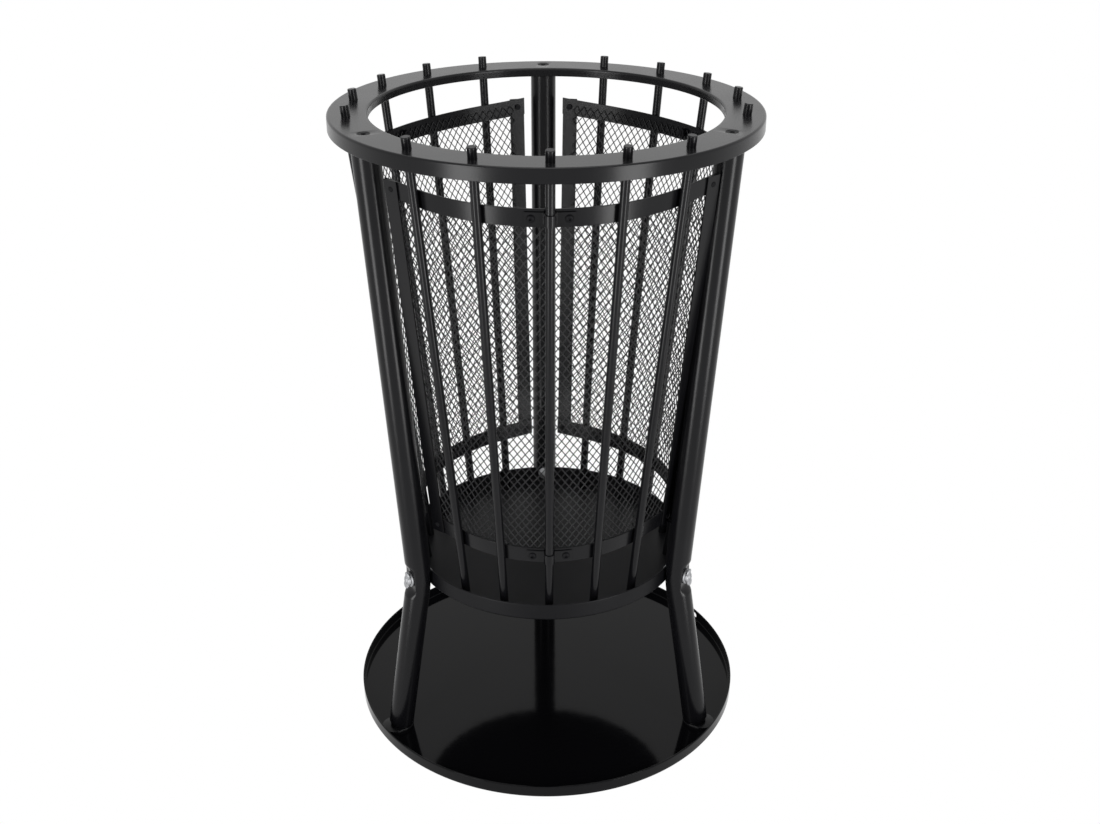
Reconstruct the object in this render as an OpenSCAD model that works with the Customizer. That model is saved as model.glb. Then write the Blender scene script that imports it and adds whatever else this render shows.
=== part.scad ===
// Fire basket on a ground tray. Three bent legs carry a flat ring, rods lean between the ring and a
// shallow fire pan, and three curved mesh panels stand inside the rods.
// Millimetres. +Z is up, the origin is the middle of the tray's underside, and the front is -Y.

/* [Top ring] */
// Outer diameter of the ring
ring_d = 390; // [370:1:410]
// Width of the ring, from its edge to the round opening
ring_w = 36; // [34:0.5:45]
// Height of the ring's top face above the ground
ring_z = 620; // [600:1:720]
// Height of the ring's outer rim
ring_rim_h = 13; // [8:0.5:25]
// Height of the ring's inner rim
ring_lip_h = 8; // [5:0.5:20]
// Outside radius of the ring's two bends
ring_bend_r = 2; // [1.8:0.1:4]
// Thickness of the ring's sheet
ring_sheet = 1.5; // [1:0.1:1.7]
// Distance from the ring's edge to the circle of rods and legs
rod_inset = 17; // [15.5:0.5:20]

/* [Rods] */
// Diameter of a rod
rod_d = 8; // [6:0.5:10]
// Rods between two legs, an odd number so that one stands in the middle
rods_per_bay = 5; // [3:2:5]
// Length of rod that stands out above the ring
rod_rise = 10; // [4:0.5:25]
// Chamfer around a rod's top end
rod_chamfer = 0.6; // [0.2:0.1:1.5]
// Distance from the pan's wall to a rod's middle, at the pan's floor
rod_foot_inset = 12; // [8:0.5:16]

/* [Legs] */
// Outer diameter of a leg tube
leg_d = 25; // [22:0.5:28]
// Wall of a leg tube
leg_wall = 1.5; // [1:0.1:2.5]
// How deep the tube is pressed flat on both sides where the pan is bolted to it
pinch_depth = 3.2; // [2.8:0.1:4]
// Height of the flat that is pressed into the tube
pinch_h = 19; // [18:0.5:26]
// Radius from the pressed flat back to the round tube
pinch_bend_r = 40; // [20:1:60]
// Distance from the tray's edge to the middle of a leg at the ground
foot_inset = 22.5; // [21:0.5:34]

/* [Fire pan] */
// Outer diameter of the pan
pan_d = 275; // [262:1:285]
// Height of the pan
pan_h = 17.5; // [17.5:0.5:30]
// Height of the pan's underside above the ground
pan_z = 162.5; // [130:0.5:200]
// Thickness of the pan's sheet
pan_sheet = 1.5; // [1:0.1:2.5]
// Outside radius of the pan's bottom corner
pan_bend_r = 3; // [2.6:0.1:5]

/* [Ground tray] */
// Outer diameter of the tray
tray_d = 397; // [392:1:430]
// Height of the tray's rim
tray_h = 12.5; // [11:0.5:30]
// Thickness of the tray's sheet
tray_sheet = 1.5; // [1:0.1:2.5]
// Outside radius of the tray's bottom corner
tray_bend_r = 3; // [2.6:0.1:5]
// Diameter of the hole in the tray's rim
tray_hole_d = 6.5; // [3:0.5:7]
// Direction of the hole in the tray's rim
tray_hole_angle = 29; // [0:1:60]

/* [Mesh panels] */
// Height from the pan's underside up to the panels' lower edge
panel_rise = 59.5; // [45:0.5:130]
// Distance from the ring's top face down to the panels' upper edge
panel_drop = 42; // [30:1:140]
// Width of the top and bottom strips
strip_w = 15; // [12:0.5:24]
// Width of the side bars
bar_w = 14.7; // [10:0.1:18]
// Thickness of the strips and the bars
frame_sheet = 1.5; // [1:0.1:2.5]
// Angle from a leg to the middle of the nearest side bar
bar_leg_angle = 9.2; // [8.6:0.1:11.5]
// Thickness of the mesh
mesh_t = 1; // [0.6:0.1:1.5]
// Width of a mesh strand
strand_w = 3; // [2:0.25:6]
// Columns of mesh openings in a panel
mesh_columns = 6; // [3:1:9]
// Rows of mesh openings in a panel
mesh_rows = 7; // [3:1:10]
// How far the mesh reaches past the middle of a side bar
mesh_overlap = 4.5; // [4:0.1:5]

/* [Straps] */
// Height of a strap
strap_h = 10.5; // [9:0.5:12]
// Thickness of a strap
strap_t = 1; // [0.6:0.1:1.5]
// Half of a strap's length, measured along the panel
strap_reach = 21; // [20:0.5:26]
// Distance from the rod to a strap's screw
strap_screw_x = 15.5; // [14:0.5:16]
// Thread diameter of a strap's screw
strap_screw_d = 4; // [3:0.5:4]

/* [Fasteners] */
// Thread diameter of the pan's carriage bolts
bolt_d = 6; // [5:0.5:6.5]
// Diameter of a carriage bolt's round head
bolt_head_d = 14; // [12:0.5:14.5]
// Height of a carriage bolt's round head
bolt_head_h = 3.4; // [2:0.1:5]
// Outer diameter of the washers under the wing nuts
washer_d = 15; // [12:0.5:17]
// Thickness of those washers
washer_t = 2; // [0.8:0.1:2.5]
// Height of a wing nut's hub
nut_hub_h = 4; // [4:0.5:7]
// Diameter of a wing nut's hub at the washer
nut_hub_d = 11.5; // [10:0.5:13]
// Distance from a wing nut's middle to the middle of a wing
wing_x = 5.8; // [5.5:0.1:8]
// Diameter of a wing's rounded end
wing_d = 8.5; // [7:0.5:10]
// Thickness of a wing
wing_t = 1.8; // [1:0.1:2]
// Width of the neck between a wing and the hub
wing_neck_w = 6.5; // [5:0.5:7]
// Slope of the wings, away from the leg
wing_tilt = 15; // [0:1:20]
// Length of bolt that stands out of a wing nut
bolt_past_nut = 0.6; // [0:0.1:4]
// Thread diameter of the ring's screws
ring_screw_d = 6; // [5:0.5:6]
// Diameter of the ring's countersunk screw heads
ring_screw_head_d = 11; // [10:0.5:12]
// Length of the ring's screws
ring_screw_l = 16; // [12:1:25]
// Width of the hexagon socket in those screws, across its corners
ring_screw_key = 4.6; // [4:0.1:5]
// How deep those screws sit below the ring's face
ring_screw_sink = 0.4; // [0.1:0.1:0.8]
// Diameter of a panel rivet
rivet_d = 4; // [3:0.5:4]
// Height of a rivet's head
rivet_head_h = 1.2; // [0.8:0.1:2]
// Height of a rivet's tail
rivet_tail_h = 0.8; // [0.5:0.1:1.5]

/* [Feet] */
// Thickness of a foot plate
foot_t = 3; // [2:0.5:4]
// Length of the spigot that stands in the leg tube
spigot_l = 18; // [10:1:30]

/* [Fits] */
// Gap around a piece that is pushed into another one or through a hole
fit_gap = 0.1; // [0.05:0.05:0.2]
// Gap between the rods and the panels' strips
panel_gap = 0.3; // [0.1:0.1:1]
// Gap between two curved pieces that lie on each other
lap_gap = 0.15; // [0.1:0.05:0.25]
// Gap between the pan's wall and the pressed flat of a leg
pan_gap = 0.2; // [0.1:0.1:0.8]
// Radial gap between a wing nut and its bolt, and between the nut and its washer
nut_gap = 0.05; // [0.02:0.01:0.08]

/* [Hidden] */
$fn = 96;
black = "#26272a";
glossy_black = "#1b1b1e";
zinc = "#9fa2a3";

LEG_NAMES = ["back", "left", "right"];
LEG_ANGLES = [90, 210, 330];
BAY_NAMES = ["left", "front", "right"];
BAY_ANGLES = [150, 270, 30];
nut_turns = [0, -12, 80];

bay_angle = 120;
rod_pitch = bay_angle / (rods_per_bay + 1);
rod_count = 3 * rods_per_bay;
function rod_name(n) = str("rod_", n < 10 ? "0" : "", n);
// Rods are counted from the back leg, going left, and the place of a leg is skipped
function rod_angle(n) = LEG_ANGLES[0] + rod_pitch * (n + floor((n - 1) / rods_per_bay));

// The rods lean along one cone between the ring and the pan's floor
rim_r = ring_d / 2 - rod_inset;
opening_r = ring_d / 2 - ring_w;
pan_r = pan_d / 2;
pan_floor_z = pan_z + pan_sheet;
rod_foot_r = pan_r - pan_sheet - rod_foot_inset;
rod_lean = atan((rim_r - rod_foot_r) / (ring_z - pan_floor_z));
function rod_r(z) = rod_foot_r + (z - pan_floor_z) * tan(rod_lean);

// The strips lie just inside the rods, on a cone of the same lean
strip_offset = (rod_d / 2 + panel_gap) / cos(rod_lean);
function strip_r(z) = rod_r(z) - strip_offset;
panel_z0 = pan_z + panel_rise;
panel_z1 = ring_z - panel_drop;
frame_t = frame_sheet / cos(rod_lean);
inner_face = frame_sheet + lap_gap + mesh_t + fit_gap;
top_strip_z = panel_z1 - strip_w / 2;
bottom_strip_z = panel_z0 + strip_w / 2;
bar_angle = bay_angle / 2 - bar_leg_angle;
mesh_angle = bar_angle + asin(mesh_overlap / strip_r(panel_z1));
mesh_window = bar_angle - asin(bar_w / 2 / strip_r(panel_z0));

// The legs bend where the pan is bolted to them, with the bolt's head clear of the pan's round corner
bolt_z = pan_z + pan_bend_r + bolt_head_d / 2 + 2.5 * fit_gap;
foot_circle_r = tray_d / 2 - foot_inset;
flat_x = leg_d / 2 - pinch_depth;
bend_r = pan_r + pan_gap + flat_x;
leg_lean = atan((rim_r - bend_r) / (ring_z - bolt_z));
leg_splay = atan((foot_circle_r - bend_r) / bolt_z);
leg_top_z = ring_z - ring_sheet;
foot_top_z = tray_sheet + foot_t;
lower_l = (bolt_z - foot_top_z - leg_d / 2 * sin(leg_splay)) / cos(leg_splay);
leg_bore = leg_d - 2 * leg_wall;

// The bolt's head rests on the pan's curved wall, its square neck ends with the wall
head_seat_x = sqrt(pow(pan_r - pan_sheet, 2) - pow(bolt_head_d / 2, 2));
washer_x = bend_r + flat_x;
nut_x = washer_x + washer_t + nut_gap;
bolt_end_x = nut_x + nut_hub_h + bolt_past_nut;
wing_z = nut_hub_h / 2 + 0.2 * wing_t;

// Each ring screw sits in a cone pressed into the ring's face
ring_screw_cone_h = (ring_screw_head_d - ring_screw_d) / 2;
plug_top_z = ring_z - ring_screw_sink - ring_screw_cone_h - ring_sheet;

// Puts children on the cone of the strips, with their X axis square to it and their Z axis uphill
module on_strip(angle, z)
    rotate([0, 0, angle]) translate([strip_r(z), 0, z]) rotate([0, rod_lean, 0]) children();

// Puts children on a rod's axis at a height, with their Z axis along the rod
module on_rod(angle, z)
    rotate([0, 0, angle]) translate([rod_r(z), 0, z]) rotate([0, rod_lean, 0]) children();

// Puts children at a leg's bolt, with their Z axis pointing outward along it
module on_bolt(angle, x)
    rotate([0, 0, angle]) translate([x, 0, bolt_z]) rotate([0, 90, 0]) children();

// Part of a cone of the strips' lean, with its outer face off by some distance along the radius
module cone_band(z0, z1, off, t, a0, a1)
    rotate([0, 0, a0])
        rotate_extrude(angle = a1 - a0)
            polygon([
                [strip_r(z0) + off - t, z0], [strip_r(z0) + off, z0],
                [strip_r(z1) + off, z1], [strip_r(z1) + off - t, z1]]);

// Half section of a round tray with a bent corner at the bottom
module tray_section(r, h, bend) {
    translate([0, bend]) square([r, h - bend]);
    square([r - bend, bend]);
    translate([r - bend, bend]) circle(r = bend);
}

module tray_shell(r, h, sheet, bend)
    rotate_extrude()
        intersection() {
            difference() {
                tray_section(r, h, bend);
                translate([-sheet, sheet]) tray_section(r, h + 1, bend - sheet);
            }
            square([r + 1, h]);
        }

// Section of the ring with both of its top corners rounded
module ring_section(r_in, r_out, z_top, h, bend) {
    translate([r_in, z_top - h]) square([r_out - r_in, h - bend]);
    translate([r_in + bend, z_top - bend]) square([r_out - r_in - 2 * bend, bend]);
    for (x = [r_in + bend, r_out - bend]) translate([x, z_top - bend]) circle(r = bend);
}

module screw_cone(drop, gap)
    translate([0, 0, ring_z - ring_screw_sink - ring_screw_cone_h - drop])
        cylinder(d1 = ring_screw_d + 2 * gap, d2 = ring_screw_head_d + 2 * gap, h = ring_screw_cone_h);

module top_ring() color(black) difference() {
    union() {
        rotate_extrude() difference() {
            ring_section(opening_r, ring_d / 2, ring_z, ring_rim_h, ring_bend_r);
            ring_section(opening_r + ring_sheet, ring_d / 2 - ring_sheet, ring_z - ring_sheet,
                ring_rim_h, ring_bend_r - ring_sheet);
            translate([opening_r - 1, ring_z - ring_rim_h - 1])
                square([ring_sheet + 1.5, ring_rim_h - ring_lip_h + 1]);
        }
        for (a = LEG_ANGLES) rotate([0, 0, a]) translate([rim_r, 0, 0])
            screw_cone(ring_sheet / 2, ring_sheet);
    }
    for (a = LEG_ANGLES) rotate([0, 0, a]) translate([rim_r, 0, 0]) {
        screw_cone(0, fit_gap);
        translate([0, 0, ring_z - ring_screw_sink])
            cylinder(d = ring_screw_head_d + 2 * fit_gap, h = ring_screw_sink + 1);
        translate([0, 0, ring_z - ring_rim_h])
            cylinder(d = ring_screw_d + 2 * fit_gap, h = ring_rim_h);
    }
    for (n = [1 : rod_count]) on_rod(rod_angle(n), ring_z)
        cylinder(d = rod_d + 2 * fit_gap, h = 3 * ring_rim_h, center = true);
}

// Straight rod whose foot is cut level, so that it stands flat on the pan's floor
module rod(n) color(black) difference() {
    on_rod(rod_angle(n), ring_z) {
        top = rod_rise / cos(rod_lean);
        length = (ring_z - pan_floor_z + rod_d) / cos(rod_lean);
        rotate_extrude() polygon([
            [0, -length], [rod_d / 2, -length], [rod_d / 2, top - rod_chamfer],
            [rod_d / 2 - rod_chamfer, top], [0, top]]);
    }
    rotate([0, 0, rod_angle(n)]) translate([rod_foot_r, 0, pan_floor_z - 2 * rod_d])
        cylinder(r = 3 * rod_d, h = 2 * rod_d);
}

module fire_pan() color(glossy_black) difference() {
    translate([0, 0, pan_z]) tray_shell(pan_r, pan_h, pan_sheet, pan_bend_r);
    for (a = LEG_ANGLES) on_bolt(a, pan_r)
        cube([bolt_d + 2 * fit_gap, bolt_d + 2 * fit_gap, 6 * pan_sheet], center = true);
}

module ground_tray() color(glossy_black) difference() {
    tray_shell(tray_d / 2, tray_h, tray_sheet, tray_bend_r);
    rotate([0, 0, tray_hole_angle]) translate([tray_d / 2, 0, tray_h / 2]) rotate([0, 90, 0])
        cylinder(d = tray_hole_d, h = 6 * tray_sheet, center = true);
}

// One straight run of a leg from the bend, cut off on the plane that halves the bend
module leg_run(d, tilt, length, below) translate([bend_r, 0, bolt_z]) difference() {
    rotate([0, tilt, 0]) translate([0, 0, -d]) cylinder(d = d, h = length + d);
    rotate([0, (leg_lean - leg_splay) / 2, 0]) translate([-2 * d, -2 * d, below ? 0 : -4 * d])
        cube([4 * d, 4 * d, 4 * d]);
}

// A leg's line as a bar of one diameter, in the plane of the leg. X points outward.
module leg_bar(d, past_foot) {
    leg_run(d, leg_lean, (ring_z + leg_d - bolt_z) / cos(leg_lean), false);
    leg_run(d, 180 - leg_splay, lower_l + past_foot, true);
}

// What the press takes away on both sides of the bend. The bore's share is one wall larger.
module pinch(grow)
    translate([bend_r, 0, bolt_z]) for (side = [0, 180]) rotate([0, 0, side]) rotate([90, 0, 0])
        linear_extrude(height = 2 * leg_d, center = true) {
            for (s = [-1, 1]) translate([flat_x + pinch_bend_r, s * pinch_h / 2])
                circle(r = pinch_bend_r + grow);
            translate([flat_x - grow, -pinch_h / 2]) square([pinch_bend_r, pinch_h]);
        }

module leg(angle) color(black) difference() {
    rotate([0, 0, angle]) difference() {
        leg_bar(leg_d, 0);
        pinch(0);
        difference() {
            leg_bar(leg_bore, leg_d);
            pinch(leg_wall);
        }
        translate([rim_r, 0, leg_top_z]) cylinder(r = 2 * leg_d, h = 3 * leg_d);
    }
    on_bolt(angle, bend_r) cylinder(d = bolt_d + 2 * fit_gap, h = 2 * leg_d, center = true);
}

// Threaded plug in the top end of a leg
module leg_plug(angle) rotate([0, 0, angle]) difference() {
    translate([bend_r, 0, bolt_z]) rotate([0, leg_lean, 0])
        translate([0, 0, (plug_top_z - ring_screw_l - bolt_z) / cos(leg_lean)])
            cylinder(d = leg_bore - 2 * fit_gap, h = 2 * ring_screw_l);
    translate([rim_r, 0, plug_top_z]) cylinder(r = leg_d, h = 3 * ring_screw_l);
    translate([rim_r, 0, plug_top_z - 2 * ring_screw_l])
        cylinder(d = ring_screw_d + 2 * fit_gap, h = 3 * ring_screw_l);
}

module ring_screw(angle) rotate([0, 0, angle]) translate([rim_r, 0, 0]) difference() {
    union() {
        screw_cone(0, 0);
        translate([0, 0, ring_z - ring_screw_sink - ring_screw_l])
            cylinder(d = ring_screw_d, h = ring_screw_l - ring_screw_cone_h);
    }
    translate([0, 0, ring_z - ring_screw_sink - 2]) cylinder(d = ring_screw_key, h = 3, $fn = 6);
}

// Obround plate on the tray's floor with a spigot that stands in the leg
module foot(angle) color(black) {
    end_r = tray_d / 2 - tray_bend_r - leg_d / 2;
    rotate([0, 0, angle]) {
        translate([0, 0, tray_sheet]) linear_extrude(height = foot_t) {
            for (r = [foot_circle_r - 1, end_r]) translate([r, 0]) circle(d = leg_d);
            translate([foot_circle_r - 1, -leg_d / 2]) square([end_r - foot_circle_r + 1, leg_d]);
        }
        difference() {
            translate([bend_r, 0, bolt_z]) rotate([0, 180 - leg_splay, 0])
                translate([0, 0, lower_l - spigot_l])
                    cylinder(d = leg_bore - 2 * fit_gap, h = spigot_l + leg_d / 2);
            translate([foot_circle_r, 0, -leg_d]) cylinder(r = 2 * leg_d, h = leg_d + foot_top_z - 1);
        }
    }
}

// Round-headed bolt with a short square neck. The head is inside the pan.
module carriage_bolt(angle) {
    dome_r = (pow(bolt_head_d / 2, 2) + pow(bolt_head_h, 2)) / (2 * bolt_head_h);
    on_bolt(angle, head_seat_x) {
        intersection() {
            translate([0, 0, dome_r - bolt_head_h]) sphere(r = dome_r);
            translate([0, 0, -bolt_head_h]) cylinder(d = bolt_head_d, h = bolt_head_h);
        }
        translate([-bolt_d / 2, -bolt_d / 2, -0.5]) cube([bolt_d, bolt_d, pan_r - head_seat_x + 0.5]);
        cylinder(d = bolt_d, h = bolt_end_x - head_seat_x);
    }
}

module washer(angle) on_bolt(angle, washer_x) difference() {
    cylinder(d = washer_d, h = washer_t);
    translate([0, 0, -1]) cylinder(d = bolt_d + 2 * fit_gap, h = washer_t + 2);
}

// Low wing nut: a hub on the bolt with two round, flat wings that slope away from the leg
module wing_nut(i) color(zinc) on_bolt(LEG_ANGLES[i], nut_x) rotate([0, 0, nut_turns[i]])
    difference() {
        union() {
            cylinder(d1 = nut_hub_d, d2 = nut_hub_d - 1.5, h = nut_hub_h);
            for (side = [0, 180]) rotate([0, 0, side]) translate([wing_x, 0, wing_z])
                rotate([0, -wing_tilt, 0]) linear_extrude(height = wing_t, center = true) {
                    circle(d = wing_d);
                    translate([-wing_d * 0.42, -wing_neck_w / 2]) square([wing_d * 0.42, wing_neck_w]);
                }
        }
        translate([0, 0, -1]) cylinder(d = bolt_d + 2 * nut_gap, h = nut_hub_h + wing_d);
    }

// Holes for the strap screws and the rivets of one panel
module panel_holes(angle) {
    strap_holes(angle, top_strip_z);
    strap_holes(angle, bottom_strip_z);
    for (z = [top_strip_z, bottom_strip_z], s = [-1, 1]) on_strip(angle + s * bar_angle, z)
        rotate([0, 90, 0]) cylinder(d = rivet_d + 2 * fit_gap, h = 8 * frame_sheet, center = true);
}

module strap_holes(angle, z)
    for (s = [-1, 1]) on_strip(angle + s * asin(strap_screw_x / strip_r(z)), z) rotate([0, 90, 0])
        cylinder(d = strap_screw_d + 2 * fit_gap, h = 8 * frame_sheet, center = true);

// Curved strip at the top or the bottom of a panel, as long as the side bars need
module strip(angle, z) color(black) difference() {
    half = bar_angle + asin(bar_w / 2 / strip_r(z));
    cone_band(z - strip_w / 2, z + strip_w / 2, 0, frame_t, angle - half, angle + half);
    panel_holes(angle);
}

// Flat side bar, laid on the outside of both strips
module bar(angle, side) color(black) difference() {
    length = (panel_z1 - panel_z0) / cos(rod_lean);
    on_strip(angle + side * bar_angle, (panel_z0 + panel_z1) / 2)
        translate([0, -bar_w / 2, -length / 2]) cube([frame_sheet, bar_w, length]);
    panel_holes(angle);
}

// Diamond opening through the mesh, narrower lower down where the cone is smaller. Each side is 1 for
// a whole half and 0 where the window's edge cuts the diamond through its middle.
module mesh_opening(angle, z, pitch_angle, pitch_z, left, right, down, up) {
    half_w = strip_r(z) * sin(pitch_angle / 2);
    half_h = pitch_z / 2;
    edge = strand_w / 2 * sqrt(half_w * half_w + half_h * half_h);
    w = half_w - edge / half_h;
    h = half_h - edge / half_w;
    on_strip(angle, z) rotate([0, 90, 0]) linear_extrude(height = 12 * mesh_t, center = true)
        polygon([[down * h, 0], [0, right * w], [-up * h, 0], [0, -left * w]]);
}

// Mesh of one panel: staggered diamonds inside a plain hem that lies behind the frame. Those along
// the window's edges are halves.
module mesh(angle) color(black) difference() {
    pitch_angle = 2 * mesh_window / mesh_columns;
    window_z0 = panel_z0 + strip_w;
    pitch_z = (panel_z1 - panel_z0 - 2 * strip_w) / mesh_rows;
    cone_band(panel_z0 + 1, panel_z1 - 1, -frame_t - lap_gap, mesh_t / cos(rod_lean),
        angle - mesh_angle, angle + mesh_angle);
    for (i = [0 : mesh_columns - 1], k = [0 : mesh_rows - 1])
        mesh_opening(angle - mesh_window + (i + 0.5) * pitch_angle, window_z0 + (k + 0.5) * pitch_z,
            pitch_angle, pitch_z, 1, 1, 1, 1);
    for (i = [0 : mesh_columns], k = [0 : mesh_rows]) {
        left = i > 0 ? 1 : 0;
        right = i < mesh_columns ? 1 : 0;
        down = k > 0 ? 1 : 0;
        up = k < mesh_rows ? 1 : 0;
        if (left + right + down + up > 2)
            mesh_opening(angle - mesh_window + i * pitch_angle, window_z0 + k * pitch_z,
                pitch_angle, pitch_z, left, right, down, up);
    }
    panel_holes(angle);
}

// Strap that holds the middle rod to a strip: a saddle over the rod and two wings on the strip
module strap(angle, z) color(black) difference() {
    inner = rod_d / 2 + fit_gap;
    outer = inner + strap_t;
    seat = rod_d / 2 + panel_gap - lap_gap;
    wing = strap_t / cos(rod_lean);
    half = asin(strap_reach / strip_r(z));
    start = asin(inner / strip_r(z));
    rise = strap_h / 2 * cos(rod_lean);
    union() {
        for (s = [-1, 1])
            cone_band(z - rise, z + rise, lap_gap + wing, wing,
                angle + min(s * half, s * start), angle + max(s * half, s * start));
        on_rod(angle, z) linear_extrude(height = strap_h, center = true) difference() {
            union() {
                circle(r = outer);
                translate([-seat, -outer]) square([seat, 2 * outer]);
            }
            circle(r = inner);
            translate([-seat - 1, -inner]) square([seat + 1, 2 * inner]);
        }
    }
    strap_holes(angle, z);
}

// Pan-headed screw through a strap and a strip
module strap_screw(angle, z) on_strip(angle, z) rotate([0, 90, 0]) {
    translate([0, 0, lap_gap + strap_t]) cylinder(d = 1.75 * strap_screw_d, h = 0.5 * strap_screw_d);
    translate([0, 0, -inner_face - strap_screw_d])
        cylinder(d = strap_screw_d, h = strap_t + inner_face + strap_screw_d + 0.5);
}

module strap_nut(angle, z) on_strip(angle, z) rotate([0, 90, 0])
    translate([0, 0, -inner_face - 0.8 * strap_screw_d]) difference() {
        cylinder(d = 2 * strap_screw_d, h = 0.8 * strap_screw_d, $fn = 6);
        translate([0, 0, -1]) cylinder(d = strap_screw_d + 2 * nut_gap, h = strap_screw_d + 2);
    }

// Rivet through a side bar, a strip and the mesh, with a low head outside and a tail inside
module rivet(angle, z) on_strip(angle, z) rotate([0, 90, 0]) {
    translate([0, 0, frame_sheet]) cylinder(d1 = 1.7 * rivet_d, d2 = rivet_d, h = rivet_head_h);
    translate([0, 0, -inner_face - rivet_tail_h])
        cylinder(d = rivet_d, h = frame_sheet + inner_face + rivet_tail_h + rivet_head_h / 2);
    translate([0, 0, -inner_face - rivet_tail_h]) cylinder(d = 1.4 * rivet_d, h = rivet_tail_h);
}

// Both screws of every strap
module strap_places()
    for (a = BAY_ANGLES, z = [top_strip_z, bottom_strip_z], s = [-1, 1]) {
        $place = [a + s * asin(strap_screw_x / strip_r(z)), z];
        children();
    }

top_ring();
fire_pan();
ground_tray();
color(glossy_black) for (a = LEG_ANGLES) ring_screw(a);  // ring_screws
color(zinc) for (a = LEG_ANGLES) leg_plug(a);  // leg_plugs
color(zinc) for (a = LEG_ANGLES) carriage_bolt(a);  // carriage_bolts
color(zinc) for (a = LEG_ANGLES) washer(a);  // washers
color(black)  // strap_screws
    strap_places() strap_screw($place[0], $place[1]);
color(black)  // strap_nuts
    strap_places() strap_nut($place[0], $place[1]);
color(black)  // panel_rivets
    for (a = BAY_ANGLES, z = [top_strip_z, bottom_strip_z], s = [-1, 1]) rivet(a + s * bar_angle, z);
for (i = [0 : 2]) {
    leg(LEG_ANGLES[i]);
    foot(LEG_ANGLES[i]);
    wing_nut(i);
}
for (n = [1 : rod_count])
    rod(n);
for (i = [0 : 2]) {
    bay = BAY_NAMES[i];
    angle = BAY_ANGLES[i];
    mesh(angle);
    strip(angle, top_strip_z);
    strip(angle, bottom_strip_z);
    bar(angle, 1);
    bar(angle, -1);
    strap(angle, top_strip_z);
    strap(angle, bottom_strip_z);
}
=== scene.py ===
# Fire basket on a round ground tray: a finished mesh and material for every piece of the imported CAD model.
# Sizes are in millimetres and turned to metres in each mesh. +Z is up and the front is -Y.
import math

import bmesh
import bpy
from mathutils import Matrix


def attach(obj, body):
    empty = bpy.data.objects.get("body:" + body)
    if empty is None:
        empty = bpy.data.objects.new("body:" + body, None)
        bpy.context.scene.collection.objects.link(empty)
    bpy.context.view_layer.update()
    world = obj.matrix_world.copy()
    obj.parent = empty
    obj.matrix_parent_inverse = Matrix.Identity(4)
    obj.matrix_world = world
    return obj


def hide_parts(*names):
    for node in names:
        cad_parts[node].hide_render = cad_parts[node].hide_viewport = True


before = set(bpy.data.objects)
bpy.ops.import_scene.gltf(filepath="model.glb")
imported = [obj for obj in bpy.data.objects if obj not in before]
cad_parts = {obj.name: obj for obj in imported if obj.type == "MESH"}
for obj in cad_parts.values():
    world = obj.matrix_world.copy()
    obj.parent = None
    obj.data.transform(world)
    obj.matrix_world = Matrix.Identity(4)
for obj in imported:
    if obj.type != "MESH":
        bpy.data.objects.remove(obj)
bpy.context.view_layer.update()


# Top ring: one sheet of 1.5 mm steel pressed into a flat ring with a deep outer and a shallow inner rim,
# punched for the rods, dimpled for three screws, and powder coated semi-gloss black.
MM = 0.001
LEG_ANGLES = {"back": 90.0, "left": 210.0, "right": 330.0}
BAY_ANGLES = {"left": 150.0, "front": 270.0, "right": 30.0}
RING_R, OPENING_R, RING_Z = 195.0, 159.0, 620.0
RIM_H, LIP_H, RING_SHEET, RING_BEND = 13.0, 8.0, 1.5, 2.0
BASKET_TOP_R, BASKET_FOOT_R, PAN_FLOOR_Z = 178.0, 124.0, 164.0
LEAN = math.atan((BASKET_TOP_R - BASKET_FOOT_R) / (RING_Z - PAN_FLOOR_Z))
ROD_R = 4.0
ROD_ANGLES = [90 + 20 * (n + (n - 1) // 5) for n in range(1, 16)]


def shade(code):
    """Linear colour of an sRGB hex value."""
    parts = [int(code[i:i + 2], 16) / 255 for i in (1, 3, 5)]
    return [p / 12.92 if p < 0.04045 else ((p + 0.055) / 1.055) ** 2.4 for p in parts] + [1.0]


def put(tree, kind, inputs=(), **settings):
    """Adds a node, sets its settings, and sets or links its inputs."""
    node = tree.nodes.new(kind)
    for name, value in settings.items():
        setattr(node, name, value)
    for socket, value in dict(inputs).items():
        if isinstance(value, bpy.types.NodeSocket):
            tree.links.new(value, node.inputs[socket])
        else:
            node.inputs[socket].default_value = value
    return node


def finish_called(name):
    """A new material and its empty node tree."""
    material = bpy.data.materials.new(name)
    material.use_nodes = True
    material.node_tree.nodes.clear()
    return material, material.node_tree


def bend(cx, cz, radius, start, end, steps=6):
    """Points on a bend of a section, from one direction to another in degrees."""
    angles = [math.radians(start + (end - start) * i / steps) for i in range(steps + 1)]
    return [(cx + radius * math.cos(a), cz + radius * math.sin(a)) for a in angles]


def turned(section, start=0.0, end=360.0, steps=288):
    """A closed (radius, height) section swept round the basket's axis, with flat ends on a part turn."""
    whole = end - start >= 360
    rows = steps if whole else steps + 1
    n = len(section)
    points = []
    for i in range(rows):
        a = math.radians(start + (end - start) * i / steps)
        points += [(r * math.cos(a), r * math.sin(a), z) for r, z in section]
    faces = []
    for i in range(steps):
        here, there = i * n, (i + 1) % rows * n
        faces += [(here + k, there + k, there + (k + 1) % n, here + (k + 1) % n) for k in range(n)]
    if not whole:
        faces += [tuple(range(n)), tuple(range(steps * n, steps * n + n))]
    return points, faces


def turn(points, angle):
    """Points turned round the basket's axis, in degrees."""
    c, s = math.cos(math.radians(angle)), math.sin(math.radians(angle))
    return [(x * c - y * s, x * s + y * c, z) for x, y, z in points]


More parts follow.
